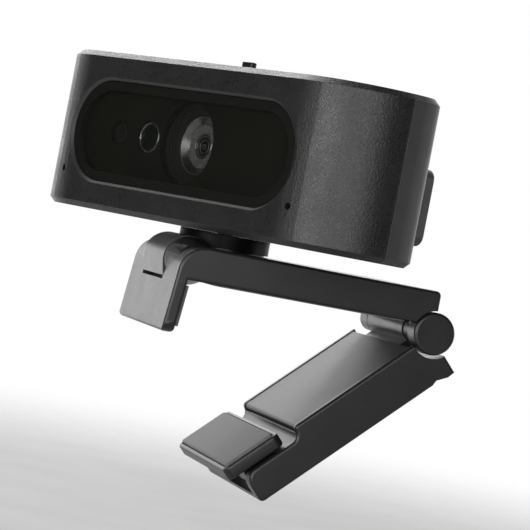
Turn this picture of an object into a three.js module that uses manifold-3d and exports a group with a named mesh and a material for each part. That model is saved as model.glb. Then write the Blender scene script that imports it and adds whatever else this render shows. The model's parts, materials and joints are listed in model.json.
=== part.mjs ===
// A wide-angle computer webcam on a folding monitor clip.
// Millimetres, +Z up, -Y towards the person in front of the screen, +X to the right seen from there.
// The origin is on the underside of the clip's arm, the face that rests on a screen's top edge.

import * as THREE from "three";
import { mergeVertices } from "three/addons/utils/BufferGeometryUtils.js";
import Module from "manifold-3d";

const wasm = await Module();
wasm.setup();

// ---- driving dimensions -------------------------------------------------------------------

const GAP = 0.3; // between pieces that lie against or pass each other
const BORE_GAP = 0.2; // round a pin or a screw, on the radius
const GLUE_GAP = 0.1; // under a glued pad

const CLIP_WIDTH = 42.4; // arm, leg and end cap are flush at both sides
const EDGE_ROUND = 0.6;

const ARM_REAR = 41.1;
const ARM_TOP = 7.2;
const ARM_UNDER = 0.25; // the pad below it stands proud down to 0
const ARM_BEND = 5.2;
const ARM_PAD_FRONT = -5;
const ARM_PAD_REAR = 35;
const ARM_PAD_THICK = 0.8;
const ARM_PAD_INSET = 1.2;
const BASE_PLATE_THICK = 1.2;
const BASE_PLATE_FRONT = 12;
const BASE_PLATE_BORDER = 1;
const BASE_PLATE_LEDGE = 1.2; // of the arm, over the plate's rim
const ARM_ROOF = 1.65;

const LIP_FRONT = -13.5; // at the height of the seat
const LIP_SPLAY = 0.09; // forward for each mm down
const LIP_THICK = 2.5;
const LIP_BOTTOM = -10.5;
const LIP_TIP_ROUND = 0.75;
const LIP_PAD_THICK = 0.65;
const LIP_PAD_TOP = -0.9;
const LIP_PAD_INSET = 1.4;

const KNUCKLE_Y = -9.1; // middle of the round brow over the tilt hinge
const KNUCKLE_Z = 3.85;
const KNUCKLE_RADIUS = 5;
const EAR_RADIUS = 4.8;
const EAR_FOOT_RADIUS = 3.5;
const EAR_FLAT = 1.2;
const EAR_LENGTH = 6;
const TILT_Y = -11.4;
const TILT_PIN_RADIUS = 0.8;
const TILT_PIN_BITE = 3; // into each ear
const LINK_WIDTH = 18;
const LINK_PLATE_UNDER = 3.85;
const TONGUE_TIP = 0.1;
const TONGUE_THICK = 1.5;
const TONGUE_CREASE = 3.2;
const SLOT_UNDER = -0.62;

const HEAD_UNDERSIDE = 10.4;
const NECK_RADIUS = 9.2;
const STUD_RADIUS = 1.5;
const STUD_HEAD_RADIUS = 3.2;
const STUD_HEAD_THICK = 1.6;
const PAN_WASHER_RADIUS = 4.4;
const PAN_WASHER_THICK = 0.6;
const PAN_NUT_RADIUS = 3.2;
const PAN_NUT_THICK = 2.2;
const PAN_ANGLE = 26.2; // how far the head is turned at rest, in degrees

const HINGE_Y = 41.2;
const HINGE_Z = -1.41;
const BARREL_RADIUS = 2.8;
const HINGE_PIN_RADIUS = 1.3;
const CAP_RADIUS = 4.35;
const CAP_THICK = 4.7;
const LEFT_LUG = 4.8;
const RIGHT_LUG = 3.9;
const BUSH_LENGTH = 3.7;
const BUSH_RADIUS = 2.6;

const LEG_ANGLE = 43.3; // below the arm, at rest, in degrees
const LEG_NOTCH = 5; // radius kept clear round the hinge
const LEG_INNER = 0.5; // heights here are from the hinge axis, across the leg
const LEG_OUTER = -8.7;
const LEG_WALL = 1.6;
const LEG_STEP = 34.3; // lengths here are from the hinge axis, along the leg
const LEG_END = 48;
const LEG_HEEL = 0.5;
const SHELF = -2.1;
const FACE_PLATE_THICK = 1;
const FACE_PLATE_SINK = 0.15;
const RAIL = 1.5;
const TIP_WALL = 3.4;
const SEAT_LEDGE = 1.2; // under the face plate's edges
const HEEL_HOOK = 0.4; // the finger notch's lip at the heel
const LEG_WEB_UNDER = -3.1;
const LEG_WEB_TOP = -1;

const FOOT_START = 37.6;
const FOOT_END = 50.9;
const FOOT_SIDE = 0.7; // the foot stands back from the leg's sides
const FOOT_TOP = 1.1;
const FOOT_UNDER = -1.6;
const FOOT_RIM = 0.8;
const FOOT_PAD_SINK = 0.6;
const FOOT_PAD_THICK = 1;
const FOOT_PIVOT_ALONG = 45;
const FOOT_PIVOT_ACROSS = -4.6;
const FOOT_LUG_RADIUS = 2.1;
const FOOT_LUG_WIDTH = 8;
const FOOT_PIN_RADIUS = 0.8;

const HEAD_WIDTH = 100.4;
const HEAD_HEIGHT = 33;
const HEAD_DEPTH = 26;
const HEAD_FRONT_ROUND = 17.5;
const HEAD_REAR_ROUND = 8;
const HEAD_CHAMFER = 1.15;
const WALL = 1.8;
const SEAM = 14.6;
const PAN_AXIS_DEPTH = 17.2; // behind the head's front face
const BLOCK_MARGIN = 7.5; // the rear block stands in from the head's sides
const BLOCK_UNDER = 4.7;
const BLOCK_TOP = 20;
const BLOCK_REAR = 32.4;
const BLOCK_CHAMFER = 1.5;
const SPIGOT_LENGTH = 1.4;
const SPIGOT_THICK = 1;

const WINDOW_MARGIN = 15.1; // from the head's sides
const WINDOW_HEIGHT = 21.2;
const WINDOW_CHAMFER = 0.6;
const WINDOW_FRAME = 1.7; // of wall round the glass, behind the head's face
const GLASS_FRONT = 0.62;
const GLASS_THICK = 1.38;
const LEDGE = 1.3;
const LEDGE_THICK = 0.7;
const GASKET_THICK = 0.2;
const MASK_FRONT = 2.5;
const MASK_THICK = 0.8;

const OPTICS_RISE = 0.1; // above the window's middle
const LENS_X = -0.1;
const LENS_OPENING = 8.3;
const LENS_RING_RADIUS = 6;
const LENS_FACE_RADIUS = 4.65;
const LENS_GLASS_RADIUS = 2.5;
const LENS_RING_FRONT = 6.1;
const LENS_FACE_DEPTH = 7.2;
const FUNNEL_STEPS = 5;
const LENS_BARREL_RADIUS = 5.4;
const LENS_BARREL_BORE = 3;
const HOLDER_WIDTH = 14;
const IR_CAMERA_X = -12.5;
const IR_CAMERA_RADIUS = 3.3;
const IR_LED_X = -22.4;
const IR_LED_RADIUS = 2.45;
const STATUS_LED_X = -30.1;
const STATUS_LED_RADIUS = 0.6;

const FRONT_BOARD_Y = 8.6;
const BOARD_THICK = 1;
const FRONT_BOARD_MARGIN = 12.2; // from the head's sides
const MAIN_BOARD_Y = 20;
const MAIN_BOARD_MARGIN = 16.2;
const BOARD_UNDER = 4.5;
const BOARD_DROP = 5.4; // below the head's top
const SENSOR_BOARD_Y = 15.9;
const SENSOR_BOARD_WIDTH = 20;
const SENSOR_HALF = [3.6, 2.9]; // across and up
const SENSOR_THICK = 1;
const CONNECTOR_HALF = [6, 1.5];
const SHIELD = { left: -28, right: -9, under: 10, top: 24, thick: 2.2 };

const MIC_MARGIN = 14.2; // from the head's sides
const MIC_Z = 7.5;
const MIC_HOLE_RADIUS = 0.7;
const MIC_RADIUS = 1.9;
const MIC_FRONT = 3;
const MIC_PORT = 0.5;

const USB_WIDTH = 9;
const USB_HEIGHT = 3.2;
const USB_Z = 12.3;
const USB_SHELL = 0.4;
const USB_TONGUE_HALF = 3;
const USB_TONGUE_THICK = 0.7;

const SHUTTER_TRAVEL = 15.8;
const SHUTTER_KNOB_X = 11.7;
const SHUTTER_Y = 5;
const KNOB_WIDTH = 3.2;
const KNOB_DEPTH = 1.5;
const KNOB_HEIGHT = 1.2;
const STEM_WIDTH = 2.2;
const STEM_DEPTH = 0.8;
const BLADE_WIDTH = 13.6;
const BLADE_HEIGHT = 14;
const BLADE_THICK = 0.4;
const BLADE_INNER_EDGE = 8.9;

const UPPER_SCREW_MARGIN = 10.2; // from the head's sides
const UPPER_SCREW_DROP = 6.2; // below the head's top
const LOWER_SCREW_MARGIN = 4.7; // from the block's sides
const LOWER_SCREW_Z = 8.2;
const SCREW_RADIUS = 1;
const SCREW_HEAD_RADIUS = 2.1;
const SCREW_HEAD_THICK = 1.3;
const BOSS_RADIUS = 3.2;
const POST_FRONT = 10.2;
const POST_WALL = 1.2;
const BASE_SCREW_X = 12;
const BASE_SCREW_HEAD_THICK = 0.6;
const BASE_BOSS_RADIUS = 2.4;
const PIN_END_WALL = 1.2; // closes the blind end of a pin's bore
const SLOT_HALF = 1.3; // of a screw's cross slot
const SLOT_WIDTH = 0.5;

// ---- worked out from them -----------------------------------------------------------------

const CLIP_HALF = CLIP_WIDTH / 2;
const LINK_HALF = LINK_WIDTH / 2;
const HEAD_HALF = HEAD_WIDTH / 2;
const BLOCK_HALF = HEAD_HALF - BLOCK_MARGIN;
const WINDOW_WIDTH = HEAD_WIDTH - 2 * WINDOW_MARGIN;
const WINDOW_Z = HEAD_HEIGHT / 2;
const OPTICS_Z = WINDOW_Z + OPTICS_RISE;
const BOARD_TOP = HEAD_HEIGHT - BOARD_DROP;
const MIC_X = HEAD_HALF - MIC_MARGIN;
const UPPER_SCREW_X = HEAD_HALF - UPPER_SCREW_MARGIN;
const UPPER_SCREW_Z = HEAD_HEIGHT - UPPER_SCREW_DROP;
const LOWER_SCREW_X = BLOCK_HALF - LOWER_SCREW_MARGIN;
const FOOT_HALF = CLIP_HALF - FOOT_SIDE;
const CAP_INNER = CLIP_HALF - CAP_THICK;
const RIGHT_LUG_OUTER = CAP_INNER - GAP;
const RIGHT_LUG_INNER = RIGHT_LUG_OUTER - RIGHT_LUG;
const BUSH_OUTER = RIGHT_LUG_INNER - GAP;
const BUSH_INNER = BUSH_OUTER - BUSH_LENGTH;
const LEFT_LUG_INNER = -CLIP_HALF + LEFT_LUG;
const BLADE_Y = MASK_FRONT + MASK_THICK + GAP;
const FUNNEL_FRONT = BLADE_Y + BLADE_THICK + GAP;
const BOARD_FACE = FRONT_BOARD_Y - GAP;

/** Depth of the lip's front face at a height above the seat. */
function lipFront(z) {
  return LIP_FRONT + LIP_SPLAY * z;
}

// ---- materials ----------------------------------------------------------------------------

function finish(color, roughness, metalness = 0) {
  return new THREE.MeshStandardMaterial({ color, roughness, metalness });
}

const casingPlastic = () => finish(0x26272a, 0.42);
const coverPlastic = () => finish(0x303134, 0.5);
const clipPlastic = () => finish(0x2e2f31, 0.55);
const platePlastic = () => finish(0x3a3b3d, 0.6);
const blackPlastic = () => finish(0x0c0c0d, 0.6);
const gripRubber = () => finish(0x3c3d3e, 0.85);
const darkGlass = () => finish(0x0a0b09, 0.08);
const steel = () => finish(0x8c8f93, 0.35, 1);
const ringMetal = () => finish(0x9a9c9e, 0.3, 1);
const boardGreen = () => finish(0x12402a, 0.6);
const chipBlack = () => finish(0x141416, 0.5);

// ---- solids -------------------------------------------------------------------------------

/** Turns a closed geometry into a solid that can be joined and cut. */
function solid(geometry) {
  const bare = geometry.clone();
  bare.deleteAttribute("normal");
  bare.deleteAttribute("uv");
  const merged = mergeVertices(bare, 1e-4);
  const corners = merged.index.array;
  const kept = [];
  for (let i = 0; i < corners.length; i += 3) {
    const [a, b, c] = [corners[i], corners[i + 1], corners[i + 2]];
    if (a !== b && b !== c && c !== a) kept.push(a, b, c);
  }
  const vertProperties = new Float32Array(merged.attributes.position.array);
  const triVerts = new Uint32Array(kept);
  return new wasm.Manifold(new wasm.Mesh({ numProp: 3, vertProperties, triVerts }));
}

/** A named mesh of a solid. */
function piece(name, body, material) {
  const { vertProperties, triVerts } = body.getMesh();
  const geometry = new THREE.BufferGeometry();
  geometry.setAttribute("position", new THREE.BufferAttribute(vertProperties, 3));
  geometry.setIndex(new THREE.BufferAttribute(triVerts, 1));
  geometry.computeVertexNormals();
  const mesh = new THREE.Mesh(geometry, material);
  mesh.name = name;
  return mesh;
}

function join(...bodies) {
  return bodies.reduce((whole, body) => whole.add(body));
}

function slab(x0, x1, y0, y1, z0, z1) {
  const geometry = new THREE.BoxGeometry(x1 - x0, y1 - y0, z1 - z0);
  geometry.translate((x0 + x1) / 2, (y0 + y1) / 2, (z0 + z1) / 2);
  return solid(geometry);
}

/** A rod or cone along one axis; `at` holds its place on the other two, in X, Y, Z order. */
function rod(axis, from, to, at, radius, endRadius = radius, segments = 32) {
  const geometry = new THREE.CylinderGeometry(endRadius, radius, to - from, segments);
  const middle = (from + to) / 2;
  if (axis === "x") geometry.rotateZ(-Math.PI / 2).translate(middle, at[0], at[1]);
  if (axis === "y") geometry.translate(at[0], middle, at[1]);
  if (axis === "z") geometry.rotateX(Math.PI / 2).translate(at[0], at[1], middle);
  return solid(geometry);
}

/** A turned piece about an axis along Y; the profile holds [radius, depth] pairs. */
function turned(profile, x, z, segments = 32) {
  const points = profile.map(([radius, depth]) => new THREE.Vector2(radius, depth));
  const area = THREE.ShapeUtils.area(points);
  if (area < 0) points.reverse();
  points.push(points[0].clone());
  const geometry = new THREE.LatheGeometry(points, segments);
  geometry.translate(x, 0, z);
  return solid(geometry);
}

/** A closed outline from [x, y, radius] corners, each rounded by its radius. */
function outline(corners, steps = 6) {
  const places = corners.map(([x, y]) => new THREE.Vector2(x, y));
  const points = [];
  places.forEach((corner, i) => {
    const radius = corners[i][2] ?? 0;
    if (radius === 0) {
      points.push(corner);
      return;
    }
    const before = places.at(i - 1).clone().sub(corner).normalize();
    const after = places[(i + 1) % places.length].clone().sub(corner).normalize();
    const half = before.angleTo(after) / 2;
    const centre = before.clone().add(after).normalize().multiplyScalar(radius / Math.sin(half));
    const start = before.clone().multiplyScalar(radius / Math.tan(half)).sub(centre);
    const end = after.clone().multiplyScalar(radius / Math.tan(half)).sub(centre);
    const sweep = Math.atan2(start.cross(end), start.dot(end));
    for (let k = 0; k <= steps; k += 1) {
      const turn = (sweep * k) / steps;
      points.push(start.clone().rotateAround(new THREE.Vector2(), turn).add(centre).add(corner));
    }
  });
  return new THREE.Shape(points);
}

function extruded(shape, length, bevel, segments) {
  const settings = { depth: length, bevelEnabled: false, steps: 1 };
  if (bevel > 0) {
    settings.depth = length - 2 * bevel;
    settings.bevelEnabled = true;
    settings.bevelThickness = bevel;
    settings.bevelSize = bevel;
    settings.bevelOffset = -bevel;
    settings.bevelSegments = segments;
  }
  const geometry = new THREE.ExtrudeGeometry(shape, settings);
  geometry.translate(0, 0, bevel);
  return geometry;
}

/** Extrudes an outline drawn in Y and Z along X. */
function alongX(shape, x0, x1, bevel = 0, segments = 3) {
  const geometry = extruded(shape, x1 - x0, bevel, segments);
  const turn = new THREE.Matrix4().set(0, 0, 1, x0, 1, 0, 0, 0, 0, 1, 0, 0, 0, 0, 0, 1);
  return solid(geometry.applyMatrix4(turn));
}

/** Extrudes an outline drawn in X and Z along Y. */
function alongY(shape, y0, y1, bevel = 0, segments = 1) {
  const geometry = extruded(shape, y1 - y0, bevel, segments);
  const turn = new THREE.Matrix4().set(1, 0, 0, 0, 0, 0, -1, y1, 0, 1, 0, 0, 0, 0, 0, 1);
  return solid(geometry.applyMatrix4(turn));
}

/** Extrudes an outline drawn in X and Y along Z. */
function alongZ(shape, z0, z1, bevel = 0, segments = 1) {
  const geometry = extruded(shape, z1 - z0, bevel, segments);
  return solid(geometry.translate(0, 0, z0));
}

/** A pill-shaped plate facing -Y, centred on the window. */
function pill(width, height, y0, y1) {
  const side = (width - height) / 2;
  const middle = slab(-side, side, y0, y1, WINDOW_Z - height / 2, WINDOW_Z + height / 2);
  const ends = [-side, side].map((x) => rod("y", y0, y1, [x, WINDOW_Z], height / 2, height / 2, 48));
  return join(middle, ...ends);
}

/** A cross-slotted screw along Y with its flat head at the rear. */
function casingScrew(x, z, headRear) {
  const headFront = headRear - SCREW_HEAD_THICK;
  const slotFloor = headRear - SLOT_WIDTH;
  const wide = SLOT_WIDTH / 2;
  const head = rod("y", headFront, headRear, [x, z], SCREW_HEAD_RADIUS, SCREW_HEAD_RADIUS, 20);
  const shank = rod("y", POST_FRONT + 0.8, headFront + 0.1, [x, z], SCREW_RADIUS, SCREW_RADIUS, 12);
  const slot = slab(x - SLOT_HALF, x + SLOT_HALF, slotFloor, headRear + 1, z - wide, z + wide);
  const cross = slab(x - wide, x + wide, slotFloor, headRear + 1, z - SLOT_HALF, z + SLOT_HALF);
  return head.add(shank).subtract(slot).subtract(cross);
}

// ---- clip arm -----------------------------------------------------------------------------

/** The plan of the pocket or plate that ends in a half circle round the pan axis. */
function linkPlan(half, front) {
  const sweep = 16;
  const points = [new THREE.Vector2(half, front)];
  for (let k = 0; k <= sweep; k += 1) {
    const turn = (Math.PI * k) / sweep;
    points.push(new THREE.Vector2(half * Math.cos(turn), half * Math.sin(turn)));
  }
  points.push(new THREE.Vector2(-half, front));
  return new THREE.Shape(points);
}

function armProfile() {
  return outline([
    [ARM_REAR, ARM_UNDER, 1],
    [ARM_REAR, ARM_TOP, 1],
    [lipFront(ARM_TOP), ARM_TOP, ARM_BEND],
    [lipFront(LIP_BOTTOM), LIP_BOTTOM, LIP_TIP_ROUND],
    [lipFront(LIP_BOTTOM) + LIP_THICK, LIP_BOTTOM, LIP_TIP_ROUND],
    [lipFront(ARM_UNDER) + LIP_THICK, ARM_UNDER],
  ]);
}

/** Rounds the two lower corners of the lip, seen from the front. */
function lipCorners() {
  const front = LIP_FRONT - 4;
  const rear = LIP_FRONT + 6;
  const cut = slab(-CLIP_HALF - 1, CLIP_HALF + 1, front, rear, LIP_BOTTOM - 1, LIP_BOTTOM + 2.5);
  const kept = outline([
    [-CLIP_HALF, LIP_BOTTOM, 2.4],
    [CLIP_HALF, LIP_BOTTOM, 2.4],
    [CLIP_HALF, LIP_BOTTOM + 8],
    [-CLIP_HALF, LIP_BOTTOM + 8],
  ]);
  return cut.subtract(alongY(kept, front - 1, rear + 1));
}

/** The round cheek beside the tilt knuckle, fading into the arm's top. */
function ear(side) {
  const inner = LINK_HALF + GAP;
  const at = [KNUCKLE_Y, KNUCKLE_Z];
  const flat = rod("x", inner, inner + EAR_FLAT, at, EAR_RADIUS, EAR_RADIUS, 48);
  const slope = rod("x", inner + EAR_FLAT, inner + EAR_LENGTH, at, EAR_RADIUS, EAR_FOOT_RADIUS, 48);
  const whole = flat.add(slope);
  return side > 0 ? whole : whole.mirror([1, 0, 0]);
}

/** The hollow in the arm for the tilt link, its tongue and the tilt pin. */
function tiltPocket() {
  const half = LINK_HALF + GAP;
  const front = LIP_FRONT - 4;
  const reach = Math.hypot(lipFront(TONGUE_TIP) - TILT_Y, TONGUE_TIP - KNUCKLE_Z) + GAP;
  const pocket = alongZ(linkPlan(half, front), LINK_PLATE_UNDER - GAP, ARM_TOP + 5);
  const slot = slab(-half, half, front, TILT_Y + reach, SLOT_UNDER, ARM_TOP + 5);
  const bore = TILT_PIN_RADIUS + BORE_GAP;
  const reachX = LINK_HALF + TILT_PIN_BITE + GAP;
  const pinHole = rod("x", -reachX, reachX, [TILT_Y, KNUCKLE_Z], bore, bore, 16);
  return join(pocket, slot, pinHole);
}

/** One lug of the arm round the hinge pin, with its web up to the arm. */
function armLug(x0, x1) {
  const barrel = rod("x", x0, x1, [HINGE_Y, HINGE_Z], BARREL_RADIUS);
  const web = slab(x0, x1, HINGE_Y - BARREL_RADIUS, ARM_REAR - 0.1, HINGE_Z, ARM_UNDER + 1.5);
  return barrel.add(web);
}

function armUnderside() {
  const padHalf = CLIP_HALF - ARM_PAD_INSET + GLUE_GAP;
  const padRoof = ARM_PAD_THICK + GLUE_GAP;
  const plateHalf = padHalf - BASE_PLATE_BORDER;
  const plateRoof = padRoof + BASE_PLATE_THICK + GAP;
  const rear = ARM_PAD_REAR - BASE_PLATE_BORDER;
  const hollowHalf = plateHalf - BASE_PLATE_LEDGE;
  const pad = slab(
    -padHalf, padHalf, ARM_PAD_FRONT - GLUE_GAP, ARM_PAD_REAR + GLUE_GAP, -1, padRoof,
  );
  const plate = slab(-plateHalf, plateHalf, BASE_PLATE_FRONT, rear, -1, plateRoof);
  const hollow = slab(
    -hollowHalf, hollowHalf, BASE_PLATE_FRONT + BASE_PLATE_LEDGE, rear - BASE_PLATE_LEDGE,
    0, ARM_TOP - ARM_ROOF,
  );
  return join(pad, plate, hollow);
}

function baseScrewPlaces() {
  const middle = (BASE_PLATE_FRONT + ARM_PAD_REAR - BASE_PLATE_BORDER) / 2;
  return [-BASE_SCREW_X, BASE_SCREW_X].map((x) => [x, middle]);
}

function basePlateTop() {
  return ARM_PAD_THICK + GLUE_GAP + BASE_PLATE_THICK;
}

function clipArm() {
  let body = alongX(armProfile(), -CLIP_HALF, CLIP_HALF, EDGE_ROUND);
  body = body.subtract(lipCorners()).subtract(armUnderside());
  body = join(body, ear(1), ear(-1)).subtract(tiltPocket());
  for (const [x, y] of baseScrewPlaces()) {
    const boss = rod("z", basePlateTop() + GAP, ARM_TOP - 1, [x, y], BASE_BOSS_RADIUS, BASE_BOSS_RADIUS, 20);
    const hole = SCREW_RADIUS + BORE_GAP;
    body = body.add(boss);
    body = body.subtract(rod("z", 0, ARM_TOP - ARM_ROOF, [x, y], hole, hole, 16));
  }
  const clear = BARREL_RADIUS + GAP;
  const hinge = [HINGE_Y, HINGE_Z];
  body = body.subtract(rod("x", LEFT_LUG_INNER, RIGHT_LUG_INNER, hinge, clear));
  const capClear = CAP_RADIUS + GAP;
  body = body.subtract(rod("x", RIGHT_LUG_OUTER, CLIP_HALF + 1, hinge, capClear, capClear, 48));
  body = join(body, armLug(-CLIP_HALF, LEFT_LUG_INNER), armLug(RIGHT_LUG_INNER, RIGHT_LUG_OUTER));
  const bore = HINGE_PIN_RADIUS + BORE_GAP;
  return body.subtract(rod("x", -CLIP_HALF + PIN_END_WALL, CLIP_HALF, hinge, bore, bore, 24));
}

function armBasePlate() {
  const half = CLIP_HALF - ARM_PAD_INSET + GLUE_GAP - BASE_PLATE_BORDER - GAP;
  const under = ARM_PAD_THICK + GLUE_GAP;
  const rear = ARM_PAD_REAR - BASE_PLATE_BORDER - GAP;
  let body = slab(-half, half, BASE_PLATE_FRONT + GAP, rear, under, basePlateTop());
  for (const at of baseScrewPlaces()) {
    const bore = SCREW_RADIUS + BORE_GAP;
    const sink = SCREW_HEAD_RADIUS + BORE_GAP;
    body = body.subtract(rod("z", 0, 5, at, bore, bore, 16));
    body = body.subtract(rod("z", 0, under + 0.8, at, sink, sink, 20));
  }
  return body;
}

function baseScrew(at) {
  const under = ARM_PAD_THICK + GLUE_GAP + 0.05;
  const head = rod("z", under, under + BASE_SCREW_HEAD_THICK, at, SCREW_HEAD_RADIUS, SCREW_HEAD_RADIUS, 20);
  const [from, to] = [under + BASE_SCREW_HEAD_THICK / 2, ARM_TOP - ARM_ROOF - GAP];
  const shank = rod("z", from, to, at, SCREW_RADIUS, SCREW_RADIUS, 12);
  return head.add(shank);
}

function armPad() {
  const half = CLIP_HALF - ARM_PAD_INSET;
  const plan = outline([
    [-half, ARM_PAD_FRONT, 1],
    [half, ARM_PAD_FRONT, 1],
    [half, ARM_PAD_REAR, 1],
    [-half, ARM_PAD_REAR, 1],
  ], 3);
  return alongZ(plan, 0, ARM_PAD_THICK);
}

function lipPad() {
  const half = CLIP_HALF - LIP_PAD_INSET;
  const foot = LIP_BOTTOM + LIP_PAD_INSET;
  const face = (z) => lipFront(z) + LIP_THICK + GLUE_GAP;
  const profile = outline([
    [face(foot), foot],
    [face(foot) + LIP_PAD_THICK, foot],
    [face(LIP_PAD_TOP) + LIP_PAD_THICK, LIP_PAD_TOP],
    [face(LIP_PAD_TOP), LIP_PAD_TOP],
  ]);
  return alongX(profile, -half, half);
}

// ---- neck ---------------------------------------------------------------------------------

/** The link's section: tongue at the front, round brow over the pin, flat plate to the rear. */
function linkProfile() {
  const tip = lipFront(TONGUE_TIP);
  const points = [
    [TILT_Y + 1.2, TONGUE_TIP + 1.2],
    [tip + TONGUE_THICK, TONGUE_TIP],
    [tip, TONGUE_TIP],
    [KNUCKLE_Y - KNUCKLE_RADIUS, TONGUE_CREASE],
  ];
  const steps = 16;
  for (let k = 0; k <= steps; k += 1) {
    const turn = Math.PI * (1 - (0.78 * k) / steps);
    points.push([
      KNUCKLE_Y + KNUCKLE_RADIUS * Math.cos(turn),
      KNUCKLE_Z + KNUCKLE_RADIUS * Math.sin(turn),
    ]);
  }
  points.push([LINK_HALF, ARM_TOP - 0.2]);
  points.push([LINK_HALF, LINK_PLATE_UNDER]);
  points.push([TILT_Y + 3.2, LINK_PLATE_UNDER]);
  points.push([TILT_Y + 2.2, LINK_PLATE_UNDER - 1.6]);
  return outline(points.reverse());
}

function tiltLink() {
  const plan = alongZ(linkPlan(LINK_HALF, LIP_FRONT - 4), TONGUE_TIP - 1, HEAD_UNDERSIDE);
  const plate = alongX(linkProfile(), -LINK_HALF, LINK_HALF).intersect(plan);
  const discTop = HEAD_UNDERSIDE - GAP;
  const disc = rod("z", ARM_TOP - 0.8, discTop, [0, 0], NECK_RADIUS - 0.2, NECK_RADIUS, 48);
  const lift = ARM_TOP + GAP;
  const crown = disc.subtract(slab(-12, 12, -12, 12, 0, lift));
  const core = rod("z", LINK_PLATE_UNDER + 1, discTop, [0, 0], LINK_HALF - 0.4, LINK_HALF - 0.4, 48);
  const head = STUD_HEAD_RADIUS + BORE_GAP;
  const sink = rod("z", 0, LINK_PLATE_UNDER + STUD_HEAD_THICK + 2 * GAP, [0, 0], head, head, 24);
  const bore = rod("z", 0, 20, [0, 0], STUD_RADIUS + BORE_GAP, STUD_RADIUS + BORE_GAP, 20);
  const pin = TILT_PIN_RADIUS + BORE_GAP;
  const pinHole = rod("x", -LINK_WIDTH, LINK_WIDTH, [TILT_Y, KNUCKLE_Z], pin, pin, 16);
  return join(plate, crown, core).subtract(join(sink, bore)).subtract(pinHole);
}

function tiltPin() {
  const reach = LINK_HALF + TILT_PIN_BITE;
  return rod("x", -reach, reach, [TILT_Y, KNUCKLE_Z], TILT_PIN_RADIUS, TILT_PIN_RADIUS, 16);
}

function panFloor() {
  return HEAD_UNDERSIDE + WALL + GAP;
}

function panStud() {
  const under = LINK_PLATE_UNDER + GAP;
  const top = panFloor() + PAN_WASHER_THICK + GAP + PAN_NUT_THICK + 0.5;
  const head = rod("z", under, under + STUD_HEAD_THICK, [0, 0], STUD_HEAD_RADIUS, STUD_HEAD_RADIUS, 24);
  return head.add(rod("z", under + 1, top, [0, 0], STUD_RADIUS, STUD_RADIUS, 20));
}

function panWasher() {
  const bore = STUD_RADIUS + BORE_GAP;
  const z = panFloor();
  const disc = rod("z", z, z + PAN_WASHER_THICK, [0, 0], PAN_WASHER_RADIUS);
  return disc.subtract(rod("z", z - 1, z + 2, [0, 0], bore, bore, 20));
}

function panNut() {
  const bore = STUD_RADIUS + BORE_GAP;
  const z = panFloor() + PAN_WASHER_THICK + GAP;
  const hexagon = rod("z", z, z + PAN_NUT_THICK, [0, 0], PAN_NUT_RADIUS, PAN_NUT_RADIUS, 6);
  return hexagon.subtract(rod("z", z - 1, z + 4, [0, 0], bore, bore, 20));
}

// ---- rear hinge ---------------------------------------------------------------------------

function hingePin() {
  const at = [HINGE_Y, HINGE_Z];
  const left = -CLIP_HALF + PIN_END_WALL + GAP;
  return rod("x", left, CLIP_HALF - 2, at, HINGE_PIN_RADIUS, HINGE_PIN_RADIUS, 24);
}

function hingeCap() {
  const at = [HINGE_Y, HINGE_Z];
  const rim = rod("x", CAP_INNER, CLIP_HALF - 0.4, at, CAP_RADIUS, CAP_RADIUS, 48);
  const face = rod("x", CLIP_HALF - 0.4, CLIP_HALF, at, CAP_RADIUS, CAP_RADIUS - 0.4, 48);
  const bore = HINGE_PIN_RADIUS + BORE_GAP;
  return rim.add(face).subtract(rod("x", 0, CLIP_HALF - 2 + GAP, at, bore, bore, 24));
}

function frictionBush() {
  const at = [HINGE_Y, HINGE_Z];
  const bore = HINGE_PIN_RADIUS + BORE_GAP;
  const ring = rod("x", BUSH_INNER, BUSH_OUTER, at, BUSH_RADIUS);
  return ring.subtract(rod("x", 0, CLIP_HALF, at, bore, bore, 24));
}

// ---- leg: drawn lying flat along -Y under the hinge axis, then swung down ------------------

/** A point of the leg from its distance along and across, with a corner radius. */
function legCorner(along, across, radius = 0) {
  return [-along, across, radius];
}

function legProfile() {
  return outline([
    legCorner(LEG_STEP, LEG_INNER, 0.95),
    legCorner(LEG_STEP + 0.4, SHELF, 1.9),
    legCorner(LEG_END, SHELF, 2.8),
    legCorner(LEG_END, LEG_OUTER, 1),
    legCorner(5.8, LEG_OUTER),
    legCorner(4.6, LEG_OUTER + HEEL_HOOK),
    legCorner(2.2, LEG_OUTER - HEEL_HOOK),
    legCorner(LEG_HEEL, LEG_OUTER - 0.3),
    legCorner(LEG_HEEL, LEG_INNER),
  ]);
}

/** The hollow of the leg: the seat of its face plate, the space below and the open tip. */
function legHollow() {
  const seatHalf = CLIP_HALF - RAIL;
  const seat = LEG_INNER - FACE_PLATE_SINK - FACE_PLATE_THICK - GAP;
  const floor = LEG_OUTER + LEG_WALL;
  const inner = seatHalf - SEAT_LEDGE;
  const tipHalf = CLIP_HALF - TIP_WALL;
  return join(
    slab(-seatHalf, seatHalf, -LEG_STEP - 1, 0, seat, LEG_INNER + 1),
    slab(-inner, inner, -LEG_STEP + 1.6, -LEG_NOTCH - LEG_WALL, floor, LEG_INNER),
    slab(-tipHalf, tipHalf, -LEG_END - 1, -FOOT_START - 1, floor, LEG_INNER),
  );
}

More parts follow.
